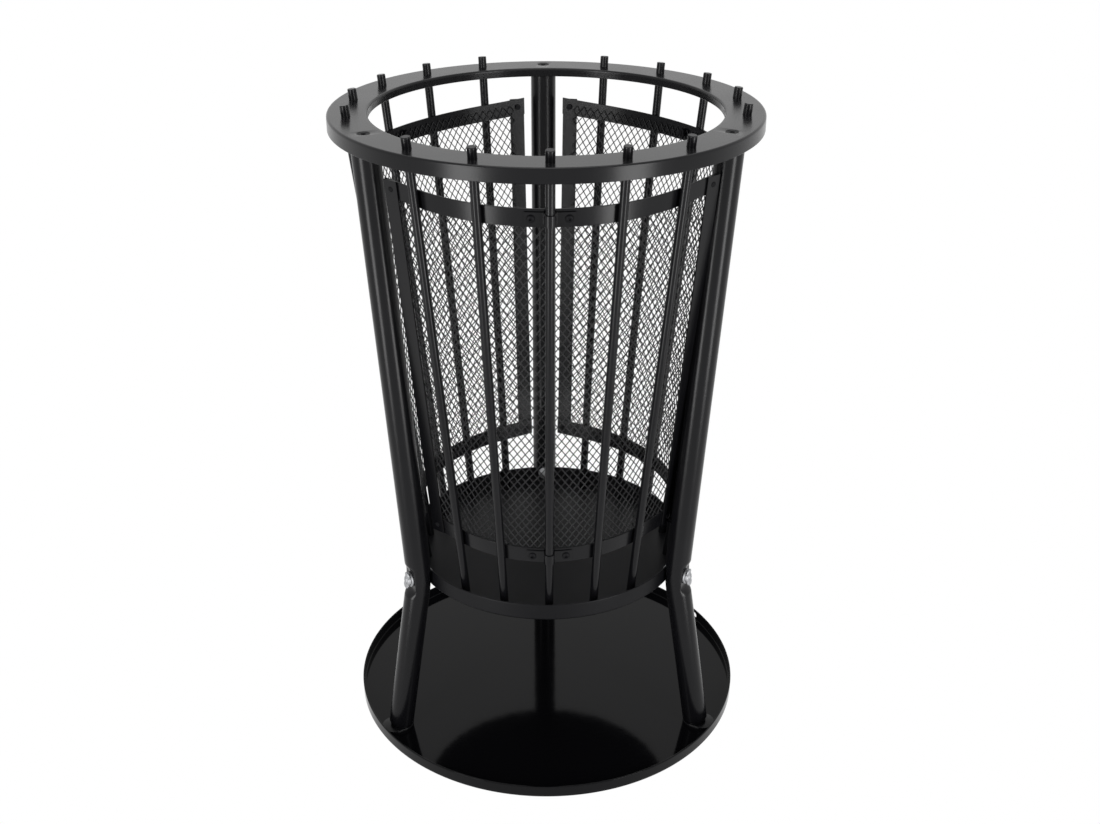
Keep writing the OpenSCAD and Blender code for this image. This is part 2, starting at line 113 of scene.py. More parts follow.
def piece(name, shells, finish, crease=32):
    """One object of closed shells of millimetre points, smooth except at its creases."""
    points, faces = [], []
    for shell_points, shell_faces in shells:
        faces += [tuple(len(points) + k for k in face) for face in shell_faces]
        points += [(x * MM, y * MM, z * MM) for x, y, z in shell_points]
    mesh = bpy.data.meshes.new(name)
    mesh.from_pydata(points, [], faces)
    work = bmesh.new()
    work.from_mesh(mesh)
    bmesh.ops.remove_doubles(work, verts=work.verts, dist=1e-6)
    bmesh.ops.dissolve_degenerate(work, edges=work.edges, dist=1e-7)
    bmesh.ops.recalc_face_normals(work, faces=work.faces)
    work.to_mesh(mesh)
    work.free()
    mesh.shade_smooth()
    mesh.set_sharp_from_angle(angle=math.radians(crease))
    mesh.materials.append(finish)
    thing = bpy.data.objects.new(name, mesh)
    bpy.context.scene.collection.objects.link(thing)
    return thing


def settle(thing):
    """Turns a piece's modifiers into plain mesh."""
    graph = bpy.context.evaluated_depsgraph_get()
    graph.update()
    mesh = bpy.data.meshes.new_from_object(thing.evaluated_get(graph), depsgraph=graph)
    thing.modifiers.clear()
    thing.data = mesh
    return thing


def cut(thing, shells, operation="DIFFERENCE"):
    """Cuts closed shells out of a piece, or joins them to it."""
    tool = piece("tool", shells, thing.data.materials[0])
    step = thing.modifiers.new("cut", "BOOLEAN")
    step.operation, step.solver, step.object = operation, "EXACT", tool
    settle(thing)
    bpy.data.objects.remove(tool)
    thing.data.set_sharp_from_angle(angle=math.radians(32))
    return thing


def along(section, base, x_axis, z_axis, steps=48):
    """A (radius, height) section turned round an axis of its own, given by a point and two directions."""
    y_axis = [z_axis[1] * x_axis[2] - z_axis[2] * x_axis[1],
              z_axis[2] * x_axis[0] - z_axis[0] * x_axis[2],
              z_axis[0] * x_axis[1] - z_axis[1] * x_axis[0]]
    points, faces = turned(section, steps=steps)
    return [tuple(base[k] + p[0] * x_axis[k] + p[1] * y_axis[k] + p[2] * z_axis[k] for k in range(3))
            for p in points], faces


UPHILL = (math.sin(LEAN), 0.0, math.cos(LEAN))
OUTWARD = (math.cos(LEAN), 0.0, -math.sin(LEAN))


def baked_powder(name, gloss_range, level):
    """Black powder coat by its roughness and how strongly it mirrors."""
    finish, tree = finish_called(name)
    place = put(tree, "ShaderNodeTexCoord").outputs["Object"]
    peel = put(tree, "ShaderNodeTexNoise", {"Vector": place, "Scale": 520.0, "Detail": 1.0})
    grain = put(tree, "ShaderNodeTexNoise", {"Vector": place, "Scale": 2600.0, "Detail": 1.0})
    cloud = put(tree, "ShaderNodeTexNoise", {"Vector": place, "Scale": 28.0, "Detail": 3.0})
    waves = put(tree, "ShaderNodeMath", {
        0: grain.outputs["Fac"], 1: 0.25, 2: peel.outputs["Fac"]}, operation="MULTIPLY_ADD")
    bumps = put(tree, "ShaderNodeBump", {
        "Strength": 0.18, "Distance": 0.06 * MM, "Height": waves.outputs[0]})
    gloss = put(tree, "ShaderNodeMapRange", {
        "Value": cloud.outputs["Fac"], "To Min": gloss_range[0], "To Max": gloss_range[1]})
    tint = put(tree, "ShaderNodeMix", {
        "Factor": cloud.outputs["Fac"], "A": shade("#08080a"), "B": shade("#0c0c0e")}, data_type="RGBA")
    coat = put(tree, "ShaderNodeBsdfPrincipled", {
        "Base Color": tint.outputs["Result"], "Roughness": gloss.outputs["Result"],
        "Normal": bumps.outputs["Normal"], "Specular IOR Level": level})
    put(tree, "ShaderNodeOutputMaterial", {"Surface": coat.outputs["BSDF"]})
    return finish


# Semi-gloss black powder coat on mild steel: baked powder that flows out almost level. Its faint orange
# peel, about 2 mm from crest to crest, breaks up the highlights, and a finer grain dulls them a little.
powder_coat = baked_powder("powder_coat_semi_gloss_black", (0.2, 0.27), 0.2)

inner = RING_BEND - RING_SHEET
ring_section = (
    [(RING_R - 0.3, RING_Z - RIM_H), (RING_R, RING_Z - RIM_H + 0.3), (RING_R, RING_Z - RING_BEND - 0.8)]
    + bend(RING_R - RING_BEND, RING_Z - RING_BEND, RING_BEND, 0, 90)
    + [(RING_R - RING_BEND - 0.8, RING_Z), (OPENING_R + RING_BEND + 0.8, RING_Z)]
    + bend(OPENING_R + RING_BEND, RING_Z - RING_BEND, RING_BEND, 90, 180)
    + [(OPENING_R, RING_Z - RING_BEND - 0.8), (OPENING_R, RING_Z - LIP_H + 0.3)]
    + [(OPENING_R + 0.3, RING_Z - LIP_H), (OPENING_R + RING_SHEET, RING_Z - LIP_H)]
    + bend(OPENING_R + RING_BEND, RING_Z - RING_BEND, inner, 180, 90, 3)
    + bend(RING_R - RING_BEND, RING_Z - RING_BEND, inner, 90, 0, 3)
    + [(RING_R - RING_SHEET, RING_Z - RIM_H)])
ring = piece("top_ring_pressing", [turned(ring_section, steps=360)], powder_coat)
# Sheet pushed down round each screw, the screw's countersunk hole, and a rod's hole, from their axes out
dimple = [(0, -3.65), (4.5, -3.65), (7.0, -1.15), (0, -1.15)]
screw_hole = [(0, -8), (3.1, -8), (3.1, -2.9), (5.6, -0.4), (6.0, -0.15), (6.8, 0.03), (6.8, 4), (0, 4)]
rod_hole = [(0, -9), (ROD_R + 0.1, -9), (ROD_R + 0.1, 9), (0, 9)]
dimples, holes = [], []
for angle in LEG_ANGLES.values():
    screw_place = turn([(BASKET_TOP_R, 0, RING_Z)], angle)[0]
    dimples.append(along(dimple, screw_place, (1, 0, 0), (0, 0, 1)))
    holes.append(along(screw_hole, screw_place, (1, 0, 0), (0, 0, 1)))
for angle in ROD_ANGLES:
    points, faces = along(rod_hole, (BASKET_TOP_R, 0, RING_Z), OUTWARD, UPHILL)
    holes.append((turn(points, angle), faces))
cut(ring, dimples, "UNION")
cut(ring, holes)
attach(ring, "basket")
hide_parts("top_ring")


# Rods: fifteen bars of 8 mm round steel, cut off square at the top with the edge broken, level at the foot,
# set five to a bay between the legs, and coated with the ring.
ROD_RISE = 10.0


def stacked(rings):
    """Faces between rings of points of one length, closed at both ends."""
    n = len(rings[0])
    points = [p for one in rings for p in one]
    faces = [(r * n + k, r * n + (k + 1) % n, (r + 1) * n + (k + 1) % n, (r + 1) * n + k)
             for r in range(len(rings) - 1) for k in range(n)]
    return points, faces + [tuple(range(n)), tuple(range((len(rings) - 1) * n, len(rings) * n))]


def new_tree(name, sockets):
    """An empty geometry tree with named inputs, and the sockets that give their values, by name."""
    tree = bpy.data.node_groups.new(name, "GeometryNodeTree")
    tree.is_modifier = True
    for label, kind in sockets:
        tree.interface.new_socket(label, in_out="INPUT", socket_type="NodeSocket" + kind)
    tree.interface.new_socket("Geometry", in_out="OUTPUT", socket_type="NodeSocketGeometry")
    return tree, dict(put(tree, "NodeGroupInput").outputs.items())


def copies_tree():
    """Sets copies of a piece round the basket's axis, leaving out a place after each full bay."""
    tree, known = new_tree("copies_round_the_axis", [
        ("Geometry", "Geometry"), ("Count", "Int"), ("Bay Count", "Int"), ("Places Skipped", "Int"),
        ("First Angle", "Float"), ("Step", "Float"), ("Finish", "Material")])
    row = put(tree, "GeometryNodeMeshLine", {"Count": known["Count"], "Offset": (0, 0, 0)})
    known["index"] = put(tree, "GeometryNodeInputIndex").outputs[0]
    # Each sum is one maths node: its result's name, its operation and its terms
    for result, operation, *terms in (
        ("part bays", "DIVIDE", "index", "Bay Count"),
        ("bays", "FLOOR", "part bays"),
        ("steps", "MULTIPLY_ADD", "bays", "Places Skipped", "index"),
        ("angle", "MULTIPLY_ADD", "steps", "Step", "First Angle")):
        inputs = {i: known.get(term, term) for i, term in enumerate(terms)}
        known[result] = put(tree, "ShaderNodeMath", inputs, operation=operation).outputs[0]
    euler = put(tree, "ShaderNodeCombineXYZ", {"Z": known["angle"]})
    spin = put(tree, "FunctionNodeEulerToRotation", {0: euler.outputs[0]})
    copies = put(tree, "GeometryNodeInstanceOnPoints", {
        "Points": row.outputs[0], "Instance": known["Geometry"], "Rotation": spin.outputs[0]})
    real = put(tree, "GeometryNodeRealizeInstances", {0: copies.outputs[0]})
    coated = put(tree, "GeometryNodeSetMaterial", {"Geometry": real.outputs[0], "Material": known["Finish"]})
    put(tree, "NodeGroupOutput", {0: coated.outputs[0]})
    return tree


def grow(thing, tree, values):
    """Runs a node tree on a piece with its named inputs and keeps the result as plain mesh."""
    step = thing.modifiers.new("grow", "NODES")
    step.node_group = tree
    for item in tree.interface.items_tree:
        if item.in_out == "INPUT" and item.name in values:
            step[item.identifier] = values[item.name]
    return settle(thing)


def on_lean(s, radius, u):
    """Point on a rod in the bay's own direction: s along it from the ring, and round it by u."""
    x, y = radius * math.cos(u), radius * math.sin(u)
    return (BASKET_TOP_R + s * UPHILL[0] + x * OUTWARD[0], y, RING_Z + s * UPHILL[2] + x * OUTWARD[2])


ROD_SIDES = 32
rod_turns = [2 * math.pi * k / ROD_SIDES for k in range(ROD_SIDES)]
# The foot is cut level, just off the pan's floor; at the top the edge is broken
foot_rise = PAN_FLOOR_Z + 0.02 - RING_Z
rod_rings = [[on_lean((foot_rise + ROD_R * math.cos(u) * math.sin(LEAN)) / math.cos(LEAN), ROD_R, u)
              for u in rod_turns]]
for back_from_end, inset in ((1.6, 0), (0.7, 0), (0.45, 0.08), (0.2, 0.25), (0.0, 0.55)):
    s = ROD_RISE / math.cos(LEAN) - back_from_end
    rod_rings.append([on_lean(s, ROD_R - inset, u) for u in rod_turns])
axis_copies = copies_tree()
rods = piece("rods_round_bar", [stacked(rod_rings)], powder_coat, crease=30)
grow(rods, axis_copies, {
    "Count": 15, "Bay Count": 5, "Places Skipped": 1, "First Angle": math.radians(110),
    "Step": math.radians(20), "Finish": powder_coat})
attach(rods, "basket")
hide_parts(*["rod_%02d" % n for n in range(1, 16)])


# Legs: three 25 mm steel tubes, bent outward by hand where the pan is bolted to them and pressed flat there
# so that the pan's wall and the washer lie on a flat. Cut level under the ring and coated like it.
LEG_R, LEG_WALL, PINCH, PINCH_H, PINCH_BEND = 12.5, 1.5, 3.2, 15.0, 11.0
BOLT_Z, LEG_BEND_R, FOOT_CIRCLE_R, FOOT_TOP_Z = 172.75, 147.0, 176.0, 4.5
LEG_TOP_Z = RING_Z - RING_SHEET
leg_lean = math.atan((BASKET_TOP_R - LEG_BEND_R) / (RING_Z - BOLT_Z))
leg_splay = math.atan((FOOT_CIRCLE_R - LEG_BEND_R) / BOLT_Z)
lower_l = (BOLT_Z - FOOT_TOP_Z - LEG_R * math.sin(leg_splay)) / math.cos(leg_splay)
upper_l = (LEG_TOP_Z - BOLT_Z) / math.cos(leg_lean)


def leg_line(s, ease=22.0):
    """Point and direction on a leg's line, s above the bend or below it, eased round the bend."""
    corner = (LEG_BEND_R, BOLT_Z)
    up = (math.sin(leg_lean), math.cos(leg_lean))
    down = (math.sin(leg_splay), -math.cos(leg_splay))
    if s >= ease:
        return (corner[0] + s * up[0], corner[1] + s * up[1]), up
    if s <= -ease:
        return (corner[0] - s * down[0], corner[1] - s * down[1]), (-down[0], -down[1])
    t = (s + ease) / (2 * ease)
    low = leg_line(-ease)[0]
    high = leg_line(ease)[0]
    spot = [(1 - t) ** 2 * low[k] + 2 * t * (1 - t) * corner[k] + t * t * high[k] for k in range(2)]
    run = [(1 - t) * (corner[k] - low[k]) + t * (high[k] - corner[k]) for k in range(2)]
    size = math.hypot(*run)
    return tuple(spot), (run[0] / size, run[1] / size)


LEG_SIDES = 48
# Places along a leg, from its top to its foot, close together round the bend
LEG_STOPS = [upper_l, upper_l - 0.6, upper_l - 1.5, 400, 300, 200, 120, 80, 50]
LEG_STOPS += [30 - 0.75 * i for i in range(81)]
LEG_STOPS += [-50, -80, -120, 1.5 - lower_l, 0.6 - lower_l, -lower_l]


def leg_shell(radius):
    """Points down a leg at one radius, ring by ring, pressed to a flat round the bolt."""
    points = []
    for i, s in enumerate(LEG_STOPS):
        (x, z), (tx, tz) = leg_line(s)
        broken = 0.25 if i in (0, len(LEG_STOPS) - 1) and radius == LEG_R else 0.0
        for k in range(LEG_SIDES):
            u = 2 * math.pi * k / LEG_SIDES
            px = (radius - broken) * math.cos(u)
            py = (radius - broken) * math.sin(u)
            shift = (LEG_TOP_Z - z) / tz + px * tx / tz if i == 0 else 0.0
            far = x + px * tz + shift * tx
            high = z - px * tx + shift * tz
            beyond = min(max(abs(high - BOLT_Z) - PINCH_H / 2, 0.0), PINCH_BEND)
            t = beyond / PINCH_BEND
            flat = radius - PINCH
            clamped = min(max(far, LEG_BEND_R - flat), LEG_BEND_R + flat)
            pressed = far + (clamped - far) * (1 - t * t * (3 - 2 * t))
            points.append((pressed, py * (1 + 0.35 * abs(far - pressed) / LEG_R), high))
    return points


leg_points = leg_shell(LEG_R) + leg_shell(LEG_R - LEG_WALL)
leg_rows = len(LEG_STOPS)
leg_faces = []
for k in range(LEG_SIDES):
    after = (k + 1) % LEG_SIDES
    for r in range(leg_rows - 1):
        a, b = r * LEG_SIDES + k, r * LEG_SIDES + after
        leg_faces.append((a, b, b + LEG_SIDES, a + LEG_SIDES))
        a, b = a + leg_rows * LEG_SIDES, b + leg_rows * LEG_SIDES
        leg_faces.append((a + LEG_SIDES, b + LEG_SIDES, b, a))
    for r in (0, leg_rows - 1):
        a, b = r * LEG_SIDES + k, r * LEG_SIDES + after
        leg_faces.append((a, b, b + leg_rows * LEG_SIDES, a + leg_rows * LEG_SIDES))
for name, angle in LEG_ANGLES.items():
    leg = piece("leg_tube_" + name, [(turn(leg_points, angle), leg_faces)], powder_coat, crease=40)
    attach(leg, "basket")
    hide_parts("leg_" + name)


# Feet: a flat round-ended steel plate under each tube with a spigot that stands in the tube. They rest on
# the tray, and are coated with the legs.
SPIGOT_L, SPIGOT_GAP = 18.0, 0.1
TRAY_R, TRAY_H, TRAY_SHEET, TRAY_BEND = 198.5, 12.5, 1.5, 2.2
# The plate stops this far inside the tray's outer face
PLATE_TO_WALL = 3.0
# Centres of the plate's two round ends, towards the basket's axis and towards the tray's wall
plate_in = FOOT_CIRCLE_R - 1
plate_out = TRAY_R - PLATE_TO_WALL - LEG_R
outline = [(centre + LEG_R * math.cos(math.radians(a)), LEG_R * math.sin(math.radians(a)))
           for centre, first in ((plate_out, -90), (plate_in, 90)) for a in range(first, first + 181, 6)]
plate_middle = (plate_in + plate_out) / 2
plate_rings = []
for inset, z in ((0.4, TRAY_SHEET + 0.02), (0.0, TRAY_SHEET + 0.4), (0.0, FOOT_TOP_Z - 0.5),
                 (0.15, FOOT_TOP_Z - 0.15), (0.5, FOOT_TOP_Z)):
    inner_scale = 1 - inset / LEG_R
    plate_rings.append([(plate_middle + (x - plate_middle) * inner_scale, y * inner_scale, z)
                        for x, y in outline])
plate_points, plate_faces = stacked(plate_rings)
spigot_r = LEG_R - LEG_WALL - SPIGOT_GAP
spot, (tx, tz) = leg_line(-lower_l)
spigot = along([(0, -3), (spigot_r, -3), (spigot_r, SPIGOT_L - 1), (spigot_r - 0.9, SPIGOT_L), (0, SPIGOT_L)],
               (spot[0], 0, spot[1]), (tz, 0, -tx), (tx, 0, tz))
# The spigot's foot is sunk in the plate, where it is welded
spigot = ([(x, y, max(z, FOOT_TOP_Z - 1)) for x, y, z in spigot[0]], spigot[1])
for name, angle in LEG_ANGLES.items():
    shells = [(turn(plate_points, angle), plate_faces), (turn(spigot[0], angle), spigot[1])]
    foot = piece("foot_plate_" + name, shells, powder_coat, crease=40)
    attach(foot, "basket")
    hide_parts("foot_" + name)


# Fire pan and ground tray: 1.5 mm steel discs pressed up into a low wall with a round corner. The pan is
# coated with the basket, the tray is sprayed and baked to a level gloss, with one drain hole in its wall.
PAN_R, PAN_H, PAN_Z, PAN_SHEET, PAN_BEND = 137.5, 17.5, 162.5, 1.5, 3.0

# Gloss black stoved enamel on steel: levels almost like glass, so it mirrors what stands on it, dark. A long
# shallow wave, about 12 mm, and a trace of fine peel keep the mirror from being perfect.
gloss_enamel, tree = finish_called("stoved_enamel_gloss_black")
place = put(tree, "ShaderNodeTexCoord").outputs["Object"]
wave = put(tree, "ShaderNodeTexNoise", {"Vector": place, "Scale": 80.0, "Detail": 2.0})
peel = put(tree, "ShaderNodeTexNoise", {"Vector": place, "Scale": 650.0, "Detail": 1.0})
waves = put(tree, "ShaderNodeMath", {
    0: peel.outputs["Fac"], 1: 0.06, 2: wave.outputs["Fac"]}, operation="MULTIPLY_ADD")
bumps = put(tree, "ShaderNodeBump", {"Strength": 0.1, "Distance": 0.2 * MM, "Height": waves.outputs[0]})
gloss = put(tree, "ShaderNodeMapRange", {"Value": wave.outputs["Fac"], "To Min": 0.06, "To Max": 0.1})
coat = put(tree, "ShaderNodeBsdfPrincipled", {
    "Base Color": shade("#08080a"), "Roughness": gloss.outputs["Result"], "Normal": bumps.outputs["Normal"],
    "Specular IOR Level": 0.12})
put(tree, "ShaderNodeOutputMaterial", {"Surface": coat.outputs["BSDF"]})


def pressed_dish(radius, height, base, sheet, corner):
    """Section of a flat dish with an upright wall, from its axis out and back."""
    inside = radius - sheet
    top = base + height
    rim = [(radius, top - 1.2), (radius, top - 0.35), (radius - 0.12, top - 0.12), (radius - 0.35, top),
           (inside + 0.35, top), (inside + 0.12, top - 0.12), (inside, top - 0.35), (inside, top - 1.2),
           (inside, base + corner + 0.8)]
    return ([(0, base), (radius - corner - 0.8, base)]
            + bend(radius - corner, base + corner, corner, -90, 0, 8) + [(radius, base + corner + 0.8)] + rim
            + bend(radius - corner, base + corner, corner - sheet, 0, -90, 6)
            + [(radius - corner - 0.8, base + sheet), (0, base + sheet)])


# The pan's powder coat is dulled by heat, so its floor mirrors the mesh only as soft lighter patches.
dulled_coat = baked_powder("powder_coat_dulled_by_heat", (0.38, 0.46), 0.12)
pan_section = pressed_dish(PAN_R, PAN_H, PAN_Z, PAN_SHEET, PAN_BEND)
pan = piece("fire_pan_pressing", [turned(pan_section)], dulled_coat)
# Half the side of the square hole for a bolt's neck
SQUARE_HOLE = 3.1
square = [(SQUARE_HOLE * y, SQUARE_HOLE * z) for y, z in ((-1, -1), (1, -1), (1, 1), (-1, 1))]
points, faces = stacked([[(PAN_R + depth, y, BOLT_Z + z) for y, z in square] for depth in (-5, 5)])
cut(pan, [(turn(points, angle), faces) for angle in LEG_ANGLES.values()])
tray_section = pressed_dish(TRAY_R, TRAY_H, 0.0, TRAY_SHEET, TRAY_BEND)
tray = piece("ground_tray_pressing", [turned(tray_section, steps=360)], gloss_enamel)
DRAIN_R, DRAIN_ANGLE = 3.25, 29.0
points, faces = along([(0, -5), (DRAIN_R, -5), (DRAIN_R, 5), (0, 5)],
                      (TRAY_R, 0, TRAY_H / 2), (0, 0, 1), (1, 0, 0), steps=32)
cut(tray, [(turn(points, DRAIN_ANGLE), faces)])
for dish, node, coat_slot in ((pan, "fire_pan", "powder_coat"), (tray, "ground_tray", "gloss_enamel")):
    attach(dish, "basket")
    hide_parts(node)


# Panel frames: two strips of 16 x 1.5 mm steel, riveted flat to two side bars and then rolled to the basket's
# cone, so the strips rise a little towards their ends. They lie just inside the rods. The front panel is
# wider at its foot than the other two.
PANEL_Z0, PANEL_Z1, STRIP_W, BAR_W, FRAME_SHEET = 221.0, 579.0, 16.0, 14.7, 1.5
# Angles from a panel's middle to its two side bars, at the bars' lower and upper ends
BAR_ANGLES = {"left": {-1: (50.8, 51.4), 1: (46.5, 49.5)},
              "front": {-1: (54.3, 50.2), 1: (60.2, 53.2)},
              "right": {-1: (46.5, 49.5), 1: (50.8, 51.4)}}
# Strips and meshes come off the rollers with straight ends, beyond this angle from their middle
ROLLED_TO = math.radians(41)
LAP_GAP = 0.15
STRIP_LEVELS = {"top": PANEL_Z1 - STRIP_W / 2, "bottom": PANEL_Z0 + STRIP_W / 2}


def strip_r(z):
    """Radius of the strips' outer face at a height."""
    return BASKET_FOOT_R + (z - PAN_FLOOR_Z) * math.tan(LEAN) - (ROD_R + 0.3) / math.cos(LEAN)


def flat_section(width, thick, edge):
    """Section of a flat bar with broken edges, through its thickness from its outer face and across it."""
    w = width / 2
    return [(0, -w + edge), (0, w - edge), (-edge, w), (-thick + edge, w),
            (-thick, w - edge), (-thick, -w + edge), (-thick + edge, -w), (-edge, -w)]


EDGE = 0.22
bar_length = (PANEL_Z1 - PANEL_Z0) / math.cos(LEAN)
z_mid = (PANEL_Z0 + PANEL_Z1) / 2
# The strips' cone, by its apex and the middle of the panels measured from there
CONE = strip_r(z_mid) / math.sin(LEAN)
apex_z = z_mid - strip_r(z_mid) / math.tan(LEAN)


def on_cone(x, y, off):
    """A place on a flat panel, across and up from its middle and off its outer face, once it is rolled."""
    far = math.hypot(x, CONE + y)
    around = math.atan2(x, CONE + y) / math.sin(LEAN)
    r = far * math.sin(LEAN) + off * math.cos(LEAN)
    bent = max(-ROLLED_TO, min(ROLLED_TO, around))
    straight = (around - bent) * far * math.sin(LEAN)
    return (r * math.cos(bent) - straight * math.sin(bent), r * math.sin(bent) + straight * math.cos(bent),
            apex_z + far * math.cos(LEAN) - off * math.sin(LEAN))


def bar_place(bay, side, y):
    """Place of a side bar across the flat panel, at a height from its middle."""
    across = [(CONE + end * bar_length / 2) * math.sin(math.radians(a) * math.sin(LEAN))
              for end, a in zip((-1, 1), BAR_ANGLES[bay][side])]
    return side * (across[0] + (across[1] - across[0]) * (y / bar_length + 0.5))


def strip_shell(bay, middle, steps=96):
    """A strip that was straight in the flat, from the outer edge of one bar to that of the other."""
    rings = []
    for i in range(steps + 1):
        ring = []
        for off, up in flat_section(STRIP_W, FRAME_SHEET, EDGE):
            start, end = [bar_place(bay, side, middle + up) + side * BAR_W / 2 for side in (-1, 1)]
            ring.append(on_cone(start + (end - start) * i / steps, middle + up, off))
        rings.append(ring)
    return stacked(rings)


def cross(a, b):
    """Direction square to two others."""
    return [a[1] * b[2] - a[2] * b[1], a[2] * b[0] - a[0] * b[2], a[0] * b[1] - a[1] * b[0]]


def bar_shell(bay, side):
    """A flat bar on the outside of both strips, straight from end to end."""
    foot, top = [on_cone(bar_place(bay, side, y), y, 0.0) for y in (-bar_length / 2, bar_length / 2)]
    size = math.dist(foot, top)
    run = [(b - a) / size for a, b in zip(foot, top)]
    middle = [(a + b) / 2 for a, b in zip(foot, top)]
    face, lifted = [on_cone(bar_place(bay, side, 0.0), 0.0, off) for off in (0.0, 1.0)]
    out = [b - a for a, b in zip(face, lifted)]
    wide = cross(run, out)
    rings = []
    for s, shrink in ((-size / 2, EDGE), (EDGE - size / 2, 0), (size / 2 - EDGE, 0), (size / 2, EDGE)):
        section = flat_section(BAR_W - 2 * shrink, FRAME_SHEET - 2 * shrink, EDGE)
        rings.append([[middle[k] + s * run[k] + (FRAME_SHEET - shrink + off) * out[k] + across * wide[k]
                       for k in range(3)] for off, across in section])
    return stacked(rings)


for bay, angle in BAY_ANGLES.items():
    parts = {"top_strip": strip_shell(bay, (bar_length - STRIP_W) / 2),
             "bottom_strip": strip_shell(bay, (STRIP_W - bar_length) / 2),
             "left_bar": bar_shell(bay, 1), "right_bar": bar_shell(bay, -1)}
    for name, (points, faces) in parts.items():
        part = piece("panel_%s_%s" % (bay, name), [(turn(points, angle), faces)], powder_coat, crease=30)
        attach(part, "basket")
        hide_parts("%s_%s" % (bay, name))


# Mesh panels: woven 0.95 mm steel wire, diamonds 7.2 mm wide and 10 mm high, cut flat, rolled to the cone
# and laid inside the frame, then coated, so the coat rounds the crossings.
CELL_W, CELL_H, WIRE_D, WEAVE = 7.2, 10.0, 0.95, 0.2
# How far the mesh stops short of the frame's outer edges and of the bars' middles
TRIM = 5.0
MESH_OFF = FRAME_SHEET + LAP_GAP + WIRE_D / 2 + WEAVE

# Satin black powder on wire: rougher than on the bars, so each wire catches a little grey light on its crest.
mesh_wire, tree = finish_called("powder_coat_satin_on_wire")
place = put(tree, "ShaderNodeTexCoord").outputs["Object"]
grain = put(tree, "ShaderNodeTexNoise", {"Vector": place, "Scale": 900.0, "Detail": 1.0})
tint = put(tree, "ShaderNodeMix", {
    "Factor": grain.outputs["Fac"], "A": shade("#0a0a0c"), "B": shade("#101012")}, data_type="RGBA")
gloss = put(tree, "ShaderNodeMapRange", {"Value": grain.outputs["Fac"], "To Min": 0.3, "To Max": 0.45})
coat = put(tree, "ShaderNodeBsdfPrincipled", {
    "Base Color": tint.outputs["Result"], "Roughness": gloss.outputs["Result"], "Specular IOR Level": 0.3})
put(tree, "ShaderNodeOutputMaterial", {"Surface": coat.outputs["BSDF"]})


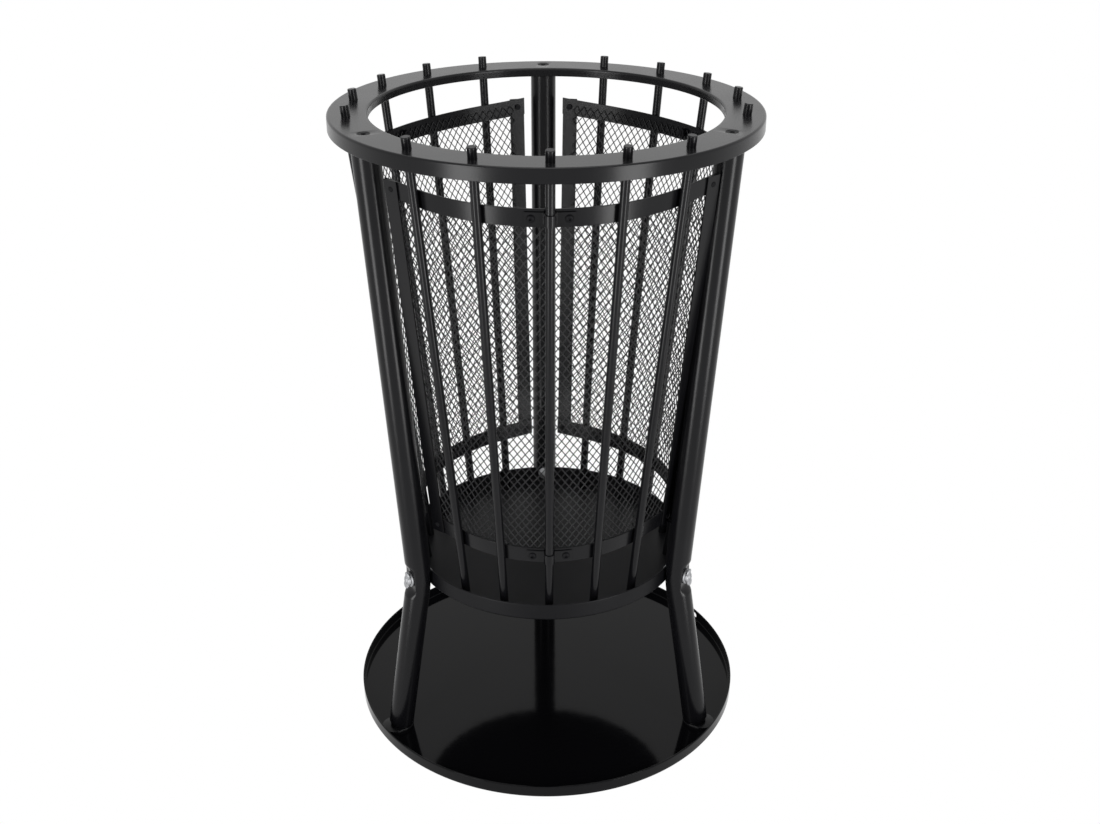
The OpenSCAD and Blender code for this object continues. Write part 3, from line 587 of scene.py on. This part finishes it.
def mesh_tree():
    """Wires of a flat diamond mesh, woven row by row, trimmed to a panel and rolled on a cone."""
    lengths = ("Cell Width", "Cell Height", "Wire Diameter", "Weave", "Cone Lean", "Apex Height", "Middle",
               "Lower Edge", "Upper Edge", "Lower Left", "Upper Left", "Lower Right", "Upper Right",
               "Rolled To", "Panel Angle")
    tree, known = new_tree("woven_wire_on_a_cone", (
        [("Geometry", "Geometry"), ("Rows", "Int"), ("Columns", "Int")]
        + [(label, "Float") for label in lengths] + [("Finish", "Material")]))
    # Both families of wires start beyond the panel's corners, so that the trimmed panel is covered
    for result, operation, *terms in (
        ("half width", "MULTIPLY", "Cell Width", 0.5),
        ("half height", "MULTIPLY", "Cell Height", 0.5),
        ("columns", "MULTIPLY_ADD", "Rows", 0.5, "Columns"),
        ("reach", "MULTIPLY", "half width", "columns"),
        ("half rows", "MULTIPLY", "Rows", -0.5),
        ("drop", "MULTIPLY", "half rows", "half height"),
        ("samples", "ADD", "Rows", 1.0)):
        inputs = {i: known.get(term, term) for i, term in enumerate(terms)}
        known[result] = put(tree, "ShaderNodeMath", inputs, operation=operation).outputs[0]
    both = put(tree, "GeometryNodeJoinGeometry")
    for sign in (1.0, -1.0):
        # Each wire goes over and under those of the other family in turn
        known["index"] = put(tree, "GeometryNodeInputIndex").outputs[0]
        for result, operation, *terms in (
            ("step", "MULTIPLY", "half width", sign),
            ("start", "MULTIPLY", "reach", -sign),
            ("pitch", "MULTIPLY", "Cell Width", sign),
            ("row", "MODULO", "index", "samples"),
            ("odd", "MODULO", "row", 2.0),
            ("over", "MULTIPLY_ADD", "odd", 2.0 * sign, -sign),
            ("lift", "MULTIPLY", "over", "Weave")):
            inputs = {i: known.get(term, term) for i, term in enumerate(terms)}
            known[result] = put(tree, "ShaderNodeMath", inputs, operation=operation).outputs[0]
        step = put(tree, "ShaderNodeCombineXYZ", {"X": known["step"], "Y": known["half height"]})
        wire = put(tree, "GeometryNodeMeshLine", {"Count": known["samples"], "Offset": step.outputs[0]})
        first = put(tree, "ShaderNodeCombineXYZ", {"X": known["start"], "Y": known["drop"]})
        across = put(tree, "ShaderNodeCombineXYZ", {"X": known["pitch"]})
        starts = put(tree, "GeometryNodeMeshLine", {
            "Count": known["Columns"], "Start Location": first.outputs[0], "Offset": across.outputs[0]})
        copies = put(tree, "GeometryNodeInstanceOnPoints", {
            "Points": starts.outputs[0], "Instance": wire.outputs[0]})
        real = put(tree, "GeometryNodeRealizeInstances", {0: copies.outputs[0]})
        family = put(tree, "GeometryNodeStoreNamedAttribute", {
            "Geometry": real.outputs[0], "Name": "lift", "Value": known["lift"]},
            data_type="FLOAT", domain="POINT")
        tree.links.new(family.outputs[0], both.inputs[0])
    position = put(tree, "GeometryNodeInputPosition").outputs[0]
    spot = put(tree, "ShaderNodeSeparateXYZ", {0: position}).outputs
    known["x"], known["y"] = spot["X"], spot["Y"]
    for side in ("Left", "Right"):
        known[side] = put(tree, "ShaderNodeMapRange", {
            "Value": known["y"], "From Min": known["Lower Edge"], "From Max": known["Upper Edge"],
            "To Min": known["Lower " + side], "To Max": known["Upper " + side]}).outputs["Result"]
    for result, operation, *terms in (
        ("past left", "LESS_THAN", "x", "Left"),
        ("past right", "GREATER_THAN", "x", "Right"),
        ("below", "LESS_THAN", "y", "Lower Edge"),
        ("above", "GREATER_THAN", "y", "Upper Edge"),
        ("beside", "MAXIMUM", "past left", "past right"),
        ("off end", "MAXIMUM", "below", "above"),
        ("outside", "MAXIMUM", "beside", "off end")):
        inputs = {i: known.get(term, term) for i, term in enumerate(terms)}
        known[result] = put(tree, "ShaderNodeMath", inputs, operation=operation).outputs[0]
    cut_out = put(tree, "GeometryNodeDeleteGeometry", {
        "Geometry": both.outputs[0], "Selection": known["outside"]})
    lift = put(tree, "GeometryNodeInputNamedAttribute", {"Name": "lift"}, data_type="FLOAT")
    known["lift"] = lift.outputs[0]
    # Rolled on the cone: an arc as far as Rolled To, and straight on beyond it
    for result, operation, *terms in (
        ("out", "ADD", "y", "Middle"),
        ("x squared", "MULTIPLY", "x", "x"),
        ("far squared", "MULTIPLY_ADD", "out", "out", "x squared"),
        ("far", "SQRT", "far squared"),
        ("sine", "SINE", "Cone Lean"),
        ("cosine", "COSINE", "Cone Lean"),
        ("flat angle", "ARCTAN2", "x", "out"),
        ("around", "DIVIDE", "flat angle", "sine"),
        ("cone radius", "MULTIPLY", "far", "sine"),
        ("radius", "MULTIPLY_ADD", "lift", "cosine", "cone radius"),
        ("sunk", "MULTIPLY", "lift", "sine"),
        ("rise", "MULTIPLY", "far", "cosine"),
        ("lifted", "SUBTRACT", "rise", "sunk"),
        ("height", "ADD", "Apex Height", "lifted"),
        ("least", "MULTIPLY", "Rolled To", -1.0),
        ("at most", "MINIMUM", "Rolled To", "around"),
        ("bent", "MAXIMUM", "least", "at most"),
        ("beyond", "SUBTRACT", "around", "bent"),
        ("straight", "MULTIPLY", "beyond", "cone radius"),
        ("angle", "ADD", "bent", "Panel Angle"),
        ("east", "COSINE", "angle"),
        ("north", "SINE", "angle"),
        ("arc x", "MULTIPLY", "radius", "east"),
        ("arc y", "MULTIPLY", "radius", "north"),
        ("back x", "MULTIPLY", "straight", "north"),
        ("rolled x", "SUBTRACT", "arc x", "back x"),
        ("rolled y", "MULTIPLY_ADD", "straight", "east", "arc y"),
        ("wire radius", "MULTIPLY", "Wire Diameter", 0.5)):
        inputs = {i: known.get(term, term) for i, term in enumerate(terms)}
        known[result] = put(tree, "ShaderNodeMath", inputs, operation=operation).outputs[0]
    rolled = put(tree, "ShaderNodeCombineXYZ", {
        "X": known["rolled x"], "Y": known["rolled y"], "Z": known["height"]})
    placed = put(tree, "GeometryNodeSetPosition", {
        "Geometry": cut_out.outputs[0], "Position": rolled.outputs[0]})
    lines = put(tree, "GeometryNodeMeshToCurve", {"Mesh": placed.outputs[0]})
    profile = put(tree, "GeometryNodeCurvePrimitiveCircle", {
        "Resolution": 6, "Radius": known["wire radius"]}, mode="RADIUS")
    wires = put(tree, "GeometryNodeCurveToMesh", {
        "Curve": lines.outputs[0], "Profile Curve": profile.outputs[0], "Fill Caps": True})
    smooth = put(tree, "GeometryNodeSetShadeSmooth", {0: wires.outputs[0]})
    real = put(tree, "GeometryNodeRealizeInstances", {0: smooth.outputs[0]})
    coated = put(tree, "GeometryNodeSetMaterial", {"Geometry": real.outputs[0], "Material": known["Finish"]})
    put(tree, "NodeGroupOutput", {0: coated.outputs[0]})
    return tree


woven = mesh_tree()
# The cone through the middle of the wires, measured from its own apex
wire_cone = CONE - MESH_OFF / math.tan(LEAN)
for bay, angle in BAY_ANGLES.items():
    seed = bpy.data.meshes.new("panel_%s_wire" % bay)
    wire_mesh = bpy.data.objects.new("panel_%s_wire" % bay, seed)
    bpy.context.scene.collection.objects.link(wire_mesh)
    corners = {}
    for level, y in (("Lower ", -bar_length / 2), ("Upper ", bar_length / 2)):
        for hand, side in (("Left", -1), ("Right", 1)):
            corners[level + hand] = (bar_place(bay, side, y) - side * TRIM) * MM
    grow(wire_mesh, woven, {
        "Rows": 76, "Columns": 84, "Cell Width": CELL_W * MM, "Cell Height": CELL_H * MM,
        "Wire Diameter": WIRE_D * MM, "Weave": WEAVE * MM, "Cone Lean": LEAN,
        "Apex Height": (apex_z + MESH_OFF / math.sin(LEAN)) * MM, "Middle": wire_cone * MM,
        "Lower Edge": (TRIM - bar_length / 2) * MM, "Upper Edge": (bar_length / 2 - TRIM) * MM, **corners,
        "Rolled To": ROLLED_TO, "Panel Angle": math.radians(angle), "Finish": mesh_wire})
    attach(wire_mesh, "basket")
    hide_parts(bay + "_mesh")


# Straps: 1 mm steel strip, 10.5 mm wide, pressed over the middle rod of each panel and bent out to two ears
# that are screwed to the panel's strip, and coated with the basket.
STRAP_H, STRAP_T, STRAP_REACH, STRAP_SCREW_X = 10.5, 1.0, 21.0, 15.5


def strap_shell(z):
    """A strap's profile round the rod at a height, thickened and drawn along the rod."""
    face = -(ROD_R + 0.3) + LAP_GAP
    curve_r = strip_r(z) / math.cos(LEAN)
    bow, foot_bend = ROD_R + 0.1 + STRAP_T / 2, 1.2
    half = []
    for i in range(9):
        t = STRAP_REACH + (bow + foot_bend - STRAP_REACH) * i / 8
        sag = curve_r - math.sqrt(curve_r ** 2 - t ** 2)
        half.append((face + STRAP_T / 2 - sag, t))
    base = half[-1][0]
    half += [(base + foot_bend * (1 - math.cos(a)), bow + foot_bend * (1 - math.sin(a)))
             for a in (math.radians(15 * i) for i in range(1, 7))]
    half += [(bow * math.sin(a), bow * math.cos(a)) for a in (math.radians(11.25 * i) for i in range(9))]
    line = half + [(x, -t) for x, t in reversed(half[:-1])]
    # The strap's outer face along its middle line, and its inner face back
    there, back = [], []
    for i, (x, t) in enumerate(line):
        before, after = line[max(i - 1, 0)], line[min(i + 1, len(line) - 1)]
        dx, dt = after[0] - before[0], after[1] - before[1]
        size = math.hypot(dx, dt)
        there.append((x, t, -dt / size, dx / size))
        back.insert(0, (x, t, dt / size, -dx / size))
    rod_x = strip_r(z) + (ROD_R + 0.3) / math.cos(LEAN)
    rings = []
    for s, shrink in ((-STRAP_H / 2, 0.2), (0.2 - STRAP_H / 2, 0.0), (STRAP_H / 2 - 0.2, 0.0),
                      (STRAP_H / 2, 0.2)):
        ring = []
        for x, t, nx, nt in there + back:
            x += nx * (STRAP_T / 2 - shrink)
            t += nt * (STRAP_T / 2 - shrink)
            ring.append((rod_x + x * OUTWARD[0] + s * UPHILL[0], t, z + x * OUTWARD[2] + s * UPHILL[2]))
        rings.append(ring)
    points, faces = stacked(rings)
    # Its two edges are closed by quads from face to face, since the profile is hollow
    n = len(line) * 2
    faces = faces[:-2]
    for start in (0, 3 * n):
        faces += [(start + k, start + k + 1, start + n - 2 - k, start + n - 1 - k) for k in range(n // 2 - 1)]
    return points, faces


for bay, angle in BAY_ANGLES.items():
    for level, z in STRIP_LEVELS.items():
        points, faces = strap_shell(z)
        strap = piece("strap_%s_%s" % (bay, level), [(turn(points, angle), faces)], powder_coat, crease=40)
        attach(strap, "basket")
        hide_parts("%s_%s_strap" % (bay, level))


# Small black fasteners of the panels: M4 button screws with a hexagon socket through the straps, hexagon nuts
# behind them, and 4 mm rivets at the panels' corners, of steel.

# Black oxide on machined steel: a thin dark skin that leaves the turned surface a little grainy and dull.
black_oxide, tree = finish_called("black_oxide_on_machined_steel")
place = put(tree, "ShaderNodeTexCoord").outputs["Object"]
grain = put(tree, "ShaderNodeTexNoise", {"Vector": place, "Scale": 1500.0, "Detail": 2.0})
bumps = put(tree, "ShaderNodeBump", {"Strength": 0.1, "Distance": 0.03 * MM, "Height": grain.outputs["Fac"]})
gloss = put(tree, "ShaderNodeMapRange", {"Value": grain.outputs["Fac"], "To Min": 0.45, "To Max": 0.55})
oxide = put(tree, "ShaderNodeBsdfPrincipled", {
    "Base Color": shade("#0e0e10"), "Roughness": gloss.outputs["Result"],
    "Normal": bumps.outputs["Normal"], "Specular IOR Level": 0.08})
put(tree, "ShaderNodeOutputMaterial", {"Surface": oxide.outputs["BSDF"]})


def panel_tree():
    """Sets a fastener, with its Z axis outward, at both sides of every strip of the three panels."""
    lengths = ("Lower Height", "Upper Height", "Radius at Zero", "Lean", "Side Distance", "First Angle")
    tree, known = new_tree("fasteners_on_the_panels", [("Geometry", "Geometry"), ("Count", "Int")]
                           + [(label, "Float") for label in lengths] + [("Finish", "Material")])
    row = put(tree, "GeometryNodeMeshLine", {"Count": known["Count"], "Offset": (0, 0, 0)})
    known["index"] = put(tree, "GeometryNodeInputIndex").outputs[0]
    for result, operation, *terms in (
        ("odd", "MODULO", "index", 2.0),
        ("side", "MULTIPLY_ADD", "odd", 2.0, -1.0),
        ("part pairs", "DIVIDE", "index", 2.0),
        ("pairs", "FLOOR", "part pairs"),
        ("level", "MODULO", "pairs", 2.0),
        ("part bays", "DIVIDE", "index", 4.0),
        ("bay", "FLOOR", "part bays"),
        ("span", "SUBTRACT", "Upper Height", "Lower Height"),
        ("height", "MULTIPLY_ADD", "level", "span", "Lower Height"),
        ("slope", "TANGENT", "Lean"),
        ("radius", "MULTIPLY_ADD", "height", "slope", "Radius at Zero"),
        ("across", "DIVIDE", "Side Distance", "radius"),
        ("swing", "ARCSINE", "across"),
        ("bay angle", "MULTIPLY_ADD", "bay", 2 * math.pi / 3, "First Angle"),
        ("angle", "MULTIPLY_ADD", "side", "swing", "bay angle"),
        ("east", "COSINE", "angle"),
        ("north", "SINE", "angle"),
        ("x", "MULTIPLY", "radius", "east"),
        ("y", "MULTIPLY", "radius", "north"),
        ("tip", "ADD", "Lean", math.pi / 2)):
        inputs = {i: known.get(term, term) for i, term in enumerate(terms)}
        known[result] = put(tree, "ShaderNodeMath", inputs, operation=operation).outputs[0]
    spot = put(tree, "ShaderNodeCombineXYZ", {"X": known["x"], "Y": known["y"], "Z": known["height"]})
    euler = put(tree, "ShaderNodeCombineXYZ", {"Y": known["tip"], "Z": known["angle"]})
    spin = put(tree, "FunctionNodeEulerToRotation", {0: euler.outputs[0]})
    places = put(tree, "GeometryNodeSetPosition", {"Geometry": row.outputs[0], "Position": spot.outputs[0]})
    copies = put(tree, "GeometryNodeInstanceOnPoints", {
        "Points": places.outputs[0], "Instance": known["Geometry"], "Rotation": spin.outputs[0]})
    real = put(tree, "GeometryNodeRealizeInstances", {0: copies.outputs[0]})
    coated = put(tree, "GeometryNodeSetMaterial", {"Geometry": real.outputs[0], "Material": known["Finish"]})
    put(tree, "NodeGroupOutput", {0: coated.outputs[0]})
    return tree


def hexagon(corner, z, n=24, blend=0.0):
    """Ring of points on a hexagon by its corner radius, blended towards a circle."""
    ring = []
    for k in range(n):
        a = 2 * math.pi * k / n
        flat = corner * math.cos(math.pi / 6) / math.cos((a % (math.pi / 3)) - math.pi / 6)
        r = flat * (1 - blend) + corner * blend
        ring.append((r * math.cos(a), r * math.sin(a), z))
    return ring


def circle(radius, z, n=24):
    """Ring of points on a circle."""
    return hexagon(radius, z, n, 1.0)


# Heights from the strips' outer face: where the screws' heads sit, and where the nuts sit behind the mesh
SEAT = LAP_GAP + STRAP_T
BACK = -(FRAME_SHEET + LAP_GAP + 1.0 + 0.1)
strap_screw = stacked(
    [circle(2.0, BACK - 4.0)] + [circle(r, SEAT + z) for r, z in (
        (2.0, 0), (3.5, 0), (3.5, 0.5), (3.3, 1.0), (2.8, 1.5), (2.1, 1.85), (1.6, 1.95))]
    + [hexagon(1.4, SEAT + 1.9), hexagon(1.4, SEAT + 0.7), circle(0.3, SEAT + 0.5)])
strap_nut = stacked([circle(3.3, BACK - 3.2), hexagon(4.0, BACK - 2.9), hexagon(4.0, BACK - 0.3),
                     circle(3.3, BACK)])
rivet = stacked(
    [circle(r, BACK + z) for r, z in ((2.0, -0.8), (2.6, -0.75), (2.8, -0.4), (2.8, 0), (2.0, 0))]
    + [circle(r, FRAME_SHEET + z) for r, z in (
        (2.0, 0), (2.5, 0), (2.4, 0.3), (2.0, 0.55), (1.3, 0.72), (0.4, 0.8))])
rivets = []
for bay, angle in BAY_ANGLES.items():
    for side in (-1, 1):
        for y in ((STRIP_W - bar_length) / 2, (bar_length - STRIP_W) / 2):
            face, lifted = [on_cone(bar_place(bay, side, y), y, off) for off in (0.0, 1.0)]
            out = [b - a for a, b in zip(face, lifted)]
            level = math.hypot(out[0], out[1])
            wide = (-out[1] / level, out[0] / level, 0.0)
            up = cross(out, wide)
            points = [[face[k] + x * wide[k] + y_up * up[k] + z * out[k] for k in range(3)]
                      for x, y_up, z in rivet[0]]
            rivets.append((turn(points, angle), rivet[1]))
on_panels = panel_tree()
for name, node, shells in (("strap_button_screws", "strap_screws", [strap_screw]),
                           ("strap_hexagon_nuts", "strap_nuts", [strap_nut]),
                           ("panel_corner_rivets", "panel_rivets", rivets)):
    small = piece(name, shells, black_oxide, crease=40)
    if shells is not rivets:
        grow(small, on_panels, {
            "Count": 12, "Lower Height": STRIP_LEVELS["bottom"] * MM,
            "Upper Height": STRIP_LEVELS["top"] * MM, "Radius at Zero": strip_r(0) * MM, "Lean": LEAN,
            "Side Distance": STRAP_SCREW_X * MM, "First Angle": math.radians(30), "Finish": black_oxide})
    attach(small, "basket")
    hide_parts(node)


# Ring screws: three M6 countersunk screws with a hexagon socket, sunk in the ring's dimples, black oxide.
SCREW_TOP = RING_Z - 0.4
points, faces = stacked(
    [circle(r, SCREW_TOP + z) for r, z in ((3.0, -16), (3.0, -2.5), (5.35, -0.15), (5.2, 0), (2.9, 0))]
    + [hexagon(2.45, SCREW_TOP - 0.2), hexagon(2.3, SCREW_TOP - 2.2), circle(0.4, SCREW_TOP - 2.8)])
ring_screw = [(x + BASKET_TOP_R, y, z) for x, y, z in points]
ring_screws = piece("ring_countersunk_screws", [(ring_screw, faces)], black_oxide, crease=40)
grow(ring_screws, axis_copies, {
    "Count": 3, "Bay Count": 1, "Places Skipped": 0, "First Angle": math.radians(90),
    "Step": math.radians(120), "Finish": black_oxide})
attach(ring_screws, "basket")
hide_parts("ring_screws")


# Pan bolts: M6 carriage bolts, cold headed steel, with a round head inside the pan and a plain washer outside
# the leg. Both are zinc plated.
HEAD_R, HEAD_H, WASHER_R, WASHER_T, HUB_H = 7.0, 3.4, 7.5, 2.0, 3.3
head_seat = math.sqrt((PAN_R - PAN_SHEET) ** 2 - HEAD_R ** 2)
washer_x = LEG_BEND_R + LEG_R - PINCH
nut_x = washer_x + WASHER_T + 0.05
bolt_end = nut_x + HUB_H + 0.6

# Bright zinc plate, tumbled in a barrel, so it is pale, a little cloudy, and spreads its highlights.
zinc, tree = finish_called("zinc_plate_bright")
place = put(tree, "ShaderNodeTexCoord").outputs["Object"]
cloud = put(tree, "ShaderNodeTexNoise", {"Vector": place, "Scale": 350.0, "Detail": 3.0})
grain = put(tree, "ShaderNodeTexNoise", {"Vector": place, "Scale": 2500.0, "Detail": 1.0})
bumps = put(tree, "ShaderNodeBump", {"Strength": 0.1, "Distance": 0.02 * MM, "Height": grain.outputs["Fac"]})
tint = put(tree, "ShaderNodeMix", {
    "Factor": cloud.outputs["Fac"], "A": shade("#98999b"), "B": shade("#a4a5a7")}, data_type="RGBA")
gloss = put(tree, "ShaderNodeMapRange", {"Value": cloud.outputs["Fac"], "To Min": 0.55, "To Max": 0.65})
plate = put(tree, "ShaderNodeBsdfPrincipled", {
    "Base Color": tint.outputs["Result"], "Metallic": 1.0, "Roughness": gloss.outputs["Result"],
    "Normal": bumps.outputs["Normal"]})
put(tree, "ShaderNodeOutputMaterial", {"Surface": plate.outputs["BSDF"]})

dome_r = (HEAD_R ** 2 + HEAD_H ** 2) / (2 * HEAD_H)
dome_angles = [math.asin(HEAD_R / dome_r) * i / 10 for i in range(11)]
# Section of a bolt from its head to its threaded end, out from its axis: radius and place along it
bolt_section = [(dome_r * math.sin(a), head_seat - HEAD_H + dome_r * (1 - math.cos(a))) for a in dome_angles]
bolt_section.append((3.0, head_seat))
groove = washer_x - 8
while groove < bolt_end - 1.0:
    bolt_section += [(3.0, groove), (2.62, groove + 0.5)]
    groove += 1.0
bolt_section += [(2.9, bolt_end - 0.7), (2.4, bolt_end), (0.0, bolt_end)]
neck_square = [(-3, -3), (3, -3), (3, 3), (-3, 3)]
neck = stacked([[(x, dy, BOLT_Z + dz) for dy, dz in neck_square] for x in (head_seat - 0.5, PAN_R)])
washer_top = washer_x + WASHER_T
washer_section = [(3.1, washer_x), (3.1, washer_top), (WASHER_R - 0.35, washer_top),
                  (WASHER_R - 0.1, washer_top - 0.1), (WASHER_R, washer_top - 0.35),
                  (WASHER_R, washer_x + 0.3), (WASHER_R - 0.25, washer_x)]
bolt_shell, washer_shell = [
    along(section, (0, 0, BOLT_Z), (0, 1, 0), (1, 0, 0), steps=steps)
    for section, steps in ((bolt_section, 32), (washer_section, 64))]
for name, node, shells in (("pan_carriage_bolts", "carriage_bolts", [bolt_shell, neck]),
                           ("pan_bolt_washers", "washers", [washer_shell])):
    metal = piece(name, shells, zinc, crease=40)
    grow(metal, axis_copies, {
        "Count": 3, "Bay Count": 1, "Places Skipped": 0, "First Angle": math.radians(90),
        "Step": math.radians(120), "Finish": zinc})
    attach(metal, "basket")
    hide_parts(node)


# Wing nuts: low M6 nuts with two round flat wings, die cast in one piece, so every corner is rounded over,
# zinc plated. Each turns on its own bolt.
HUB_R, WING_X, WING_R, WING_T, WING_NECK, WING_TILT = 5.75, 5.8, 4.25, 1.8, 6.5, math.radians(9)
WING_Z = HUB_H / 2 + 0.2 * WING_T
hub = [(0, 0), (HUB_R, 0), (HUB_R, 0.8), (HUB_R - 0.4, 1.9), (HUB_R - 1.3, 2.8), (HUB_R - 2.2, HUB_H),
       (0, HUB_H)]
# A wing's outline from above: round, and cut off straight inside the hub
wing_turns = [math.radians(a) for a in range(-130, 131, 10)]
wing_outline = [(WING_R * math.cos(a), WING_R * math.sin(a)) for a in wing_turns]
wing_outline += [(-WING_R * 0.84, WING_NECK / 2), (-WING_R * 0.84, -WING_NECK / 2)]
cos_tilt, sin_tilt = math.cos(WING_TILT), math.sin(WING_TILT)
wing_points, wing_faces = stacked([
    [(WING_X + x * cos_tilt - h * sin_tilt, y, WING_Z + x * sin_tilt + h * cos_tilt) for x, y in wing_outline]
    for h in (-WING_T / 2, WING_T / 2)])
for name, nut_turn in (("back", 0.0), ("left", -15.0), ("right", 12.0)):
    shells = [along(hub, (0, 0, 0), (1, 0, 0), (0, 0, 1))]
    shells += [(turn(wing_points, side), wing_faces) for side in (0, 180)]
    nut = piece("wing_nut_cast_" + name, shells, zinc)
    cast = nut.modifiers.new("cast", "REMESH")
    cast.mode, cast.voxel_size = "VOXEL", 0.26 * MM
    soft = nut.modifiers.new("soft", "SMOOTH")
    soft.factor, soft.iterations = 0.5, 24
    settle(nut)
    cut(nut, [along([(0, -2), (3.05, -2), (3.05, 8), (0, 8)], (0, 0, 0), (1, 0, 0), (0, 0, 1))])
    a = math.radians(LEG_ANGLES[name])
    t = math.radians(nut_turn)
    for vertex in nut.data.vertices:
        x, y, z = vertex.co
        down = x * math.cos(t) - y * math.sin(t)
        across = x * math.sin(t) + y * math.cos(t)
        far = nut_x * MM + z
        vertex.co = (far * math.cos(a) - across * math.sin(a), far * math.sin(a) + across * math.cos(a),
                     BOLT_Z * MM - down)
    nut.data.shade_smooth()
    nut.data.set_sharp_from_angle(angle=math.radians(50))
    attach(nut, "wing_nut_" + name)
    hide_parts("wing_nut_" + name)


# Leg plugs: plain steel plugs pressed into the tubes' tops for the ring's screws. They are inside the tubes,
# so the CAD solids stay, with a finish of their own.

# Turned mild steel: fine tool marks, too small to see one by one, make it glint unevenly.
turned_steel, tree = finish_called("turned_mild_steel")
place = put(tree, "ShaderNodeTexCoord").outputs["Object"]
rings_of_tool = put(tree, "ShaderNodeTexNoise", {"Vector": place, "Scale": 900.0, "Detail": 2.0})
gloss = put(tree, "ShaderNodeMapRange", {"Value": rings_of_tool.outputs["Fac"], "To Min": 0.3, "To Max": 0.5})
steel = put(tree, "ShaderNodeBsdfPrincipled", {
    "Base Color": shade("#8d8e90"), "Metallic": 1.0, "Roughness": gloss.outputs["Result"]})
put(tree, "ShaderNodeOutputMaterial", {"Surface": steel.outputs["BSDF"]})
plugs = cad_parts["leg_plugs"]
plugs.data.materials.clear()
plugs.data.materials.append(turned_steel)


# Studio: a pale round table top, a white surround, and two tall soft lights left and right of the camera with
# a broad one above. The camera stands where the photograph was taken from. The table top and the surround are
# plain white to the camera and in mirrors, and give less light than that.


def seen_rays(tree):
    """One on camera, glossy and transmitted rays, and zero on all others."""
    paths = put(tree, "ShaderNodeLightPath").outputs
    seen = put(tree, "ShaderNodeMath", {
        0: paths["Is Camera Ray"], 1: paths["Is Glossy Ray"]}, operation="MAXIMUM")
    seen = put(tree, "ShaderNodeMath", {
        0: seen.outputs[0], 1: paths["Is Transmission Ray"]}, operation="MAXIMUM")
    return seen.outputs[0]


table_top, tree = finish_called("pale_table_top")
paint = put(tree, "ShaderNodeBsdfDiffuse", {"Color": shade("#f2f2f2")})
white = put(tree, "ShaderNodeEmission", {"Color": (1, 1, 1, 1), "Strength": 1.0})
both = put(tree, "ShaderNodeMixShader", {0: seen_rays(tree), 1: paint.outputs[0], 2: white.outputs[0]})
put(tree, "ShaderNodeOutputMaterial", {"Surface": both.outputs[0]})
TABLE_R, TABLE_TOP, TABLE_FOOT = 600, -0.2, -20.2
table_section = [(0, TABLE_FOOT), (TABLE_R, TABLE_FOOT), (TABLE_R, TABLE_TOP), (0, TABLE_TOP)]
floor = piece("table_top", [turned(table_section, steps=96)], table_top)

world = bpy.data.worlds.new("white_surround")
bpy.context.scene.world = world
world.use_nodes = True
tree = world.node_tree
tree.nodes.clear()
level = put(tree, "ShaderNodeMapRange", {"Value": seen_rays(tree), "To Min": 0.3, "To Max": 1.0})
sky = put(tree, "ShaderNodeBackground", {"Color": (1, 1, 1, 1), "Strength": level.outputs["Result"]})
put(tree, "ShaderNodeOutputWorld", {"Surface": sky.outputs[0]})

LIGHT_FAR, LIGHT_LOW, LIGHT_HIGH, LIGHT_WIDE, LIGHT_POWER = 1.7, -0.5, 1.5, 0.5, 27.0
for name, azimuth in (("soft_light_left", 229), ("soft_light_right", 311)):
    lamp = bpy.data.lights.new(name, "AREA")
    lamp.shape = "RECTANGLE"
    lamp.size = LIGHT_WIDE
    lamp.size_y = LIGHT_HIGH - LIGHT_LOW
    lamp.energy = LIGHT_POWER
    stand = bpy.data.objects.new(name, lamp)
    a = math.radians(azimuth)
    stand.location = (LIGHT_FAR * math.cos(a), LIGHT_FAR * math.sin(a), (LIGHT_LOW + LIGHT_HIGH) / 2)
    stand.rotation_euler = (math.radians(90), 0, a + math.radians(90))
    bpy.context.scene.collection.objects.link(stand)
lamp = bpy.data.lights.new("soft_light_above", "AREA")
lamp.shape = "DISK"
lamp.size = 1.2
lamp.energy = 8.0
stand = bpy.data.objects.new("soft_light_above", lamp)
stand.location = (0, 0, 2.2)
bpy.context.scene.collection.objects.link(stand)

eye = bpy.data.cameras.new("photo_camera")
eye.lens, eye.sensor_width, eye.sensor_fit = 44.82, 36.0, "HORIZONTAL"
camera = bpy.data.objects.new("photo_camera", eye)
camera.location = (-0.02097, -1.2182, 0.9151)
camera.rotation_euler = (math.radians(90 - 26.18), 0, -math.atan2(0.0199, 0.9998))
bpy.context.scene.collection.objects.link(camera)
bpy.context.scene.camera = camera
bpy.context.scene.view_settings.view_transform = "Standard"
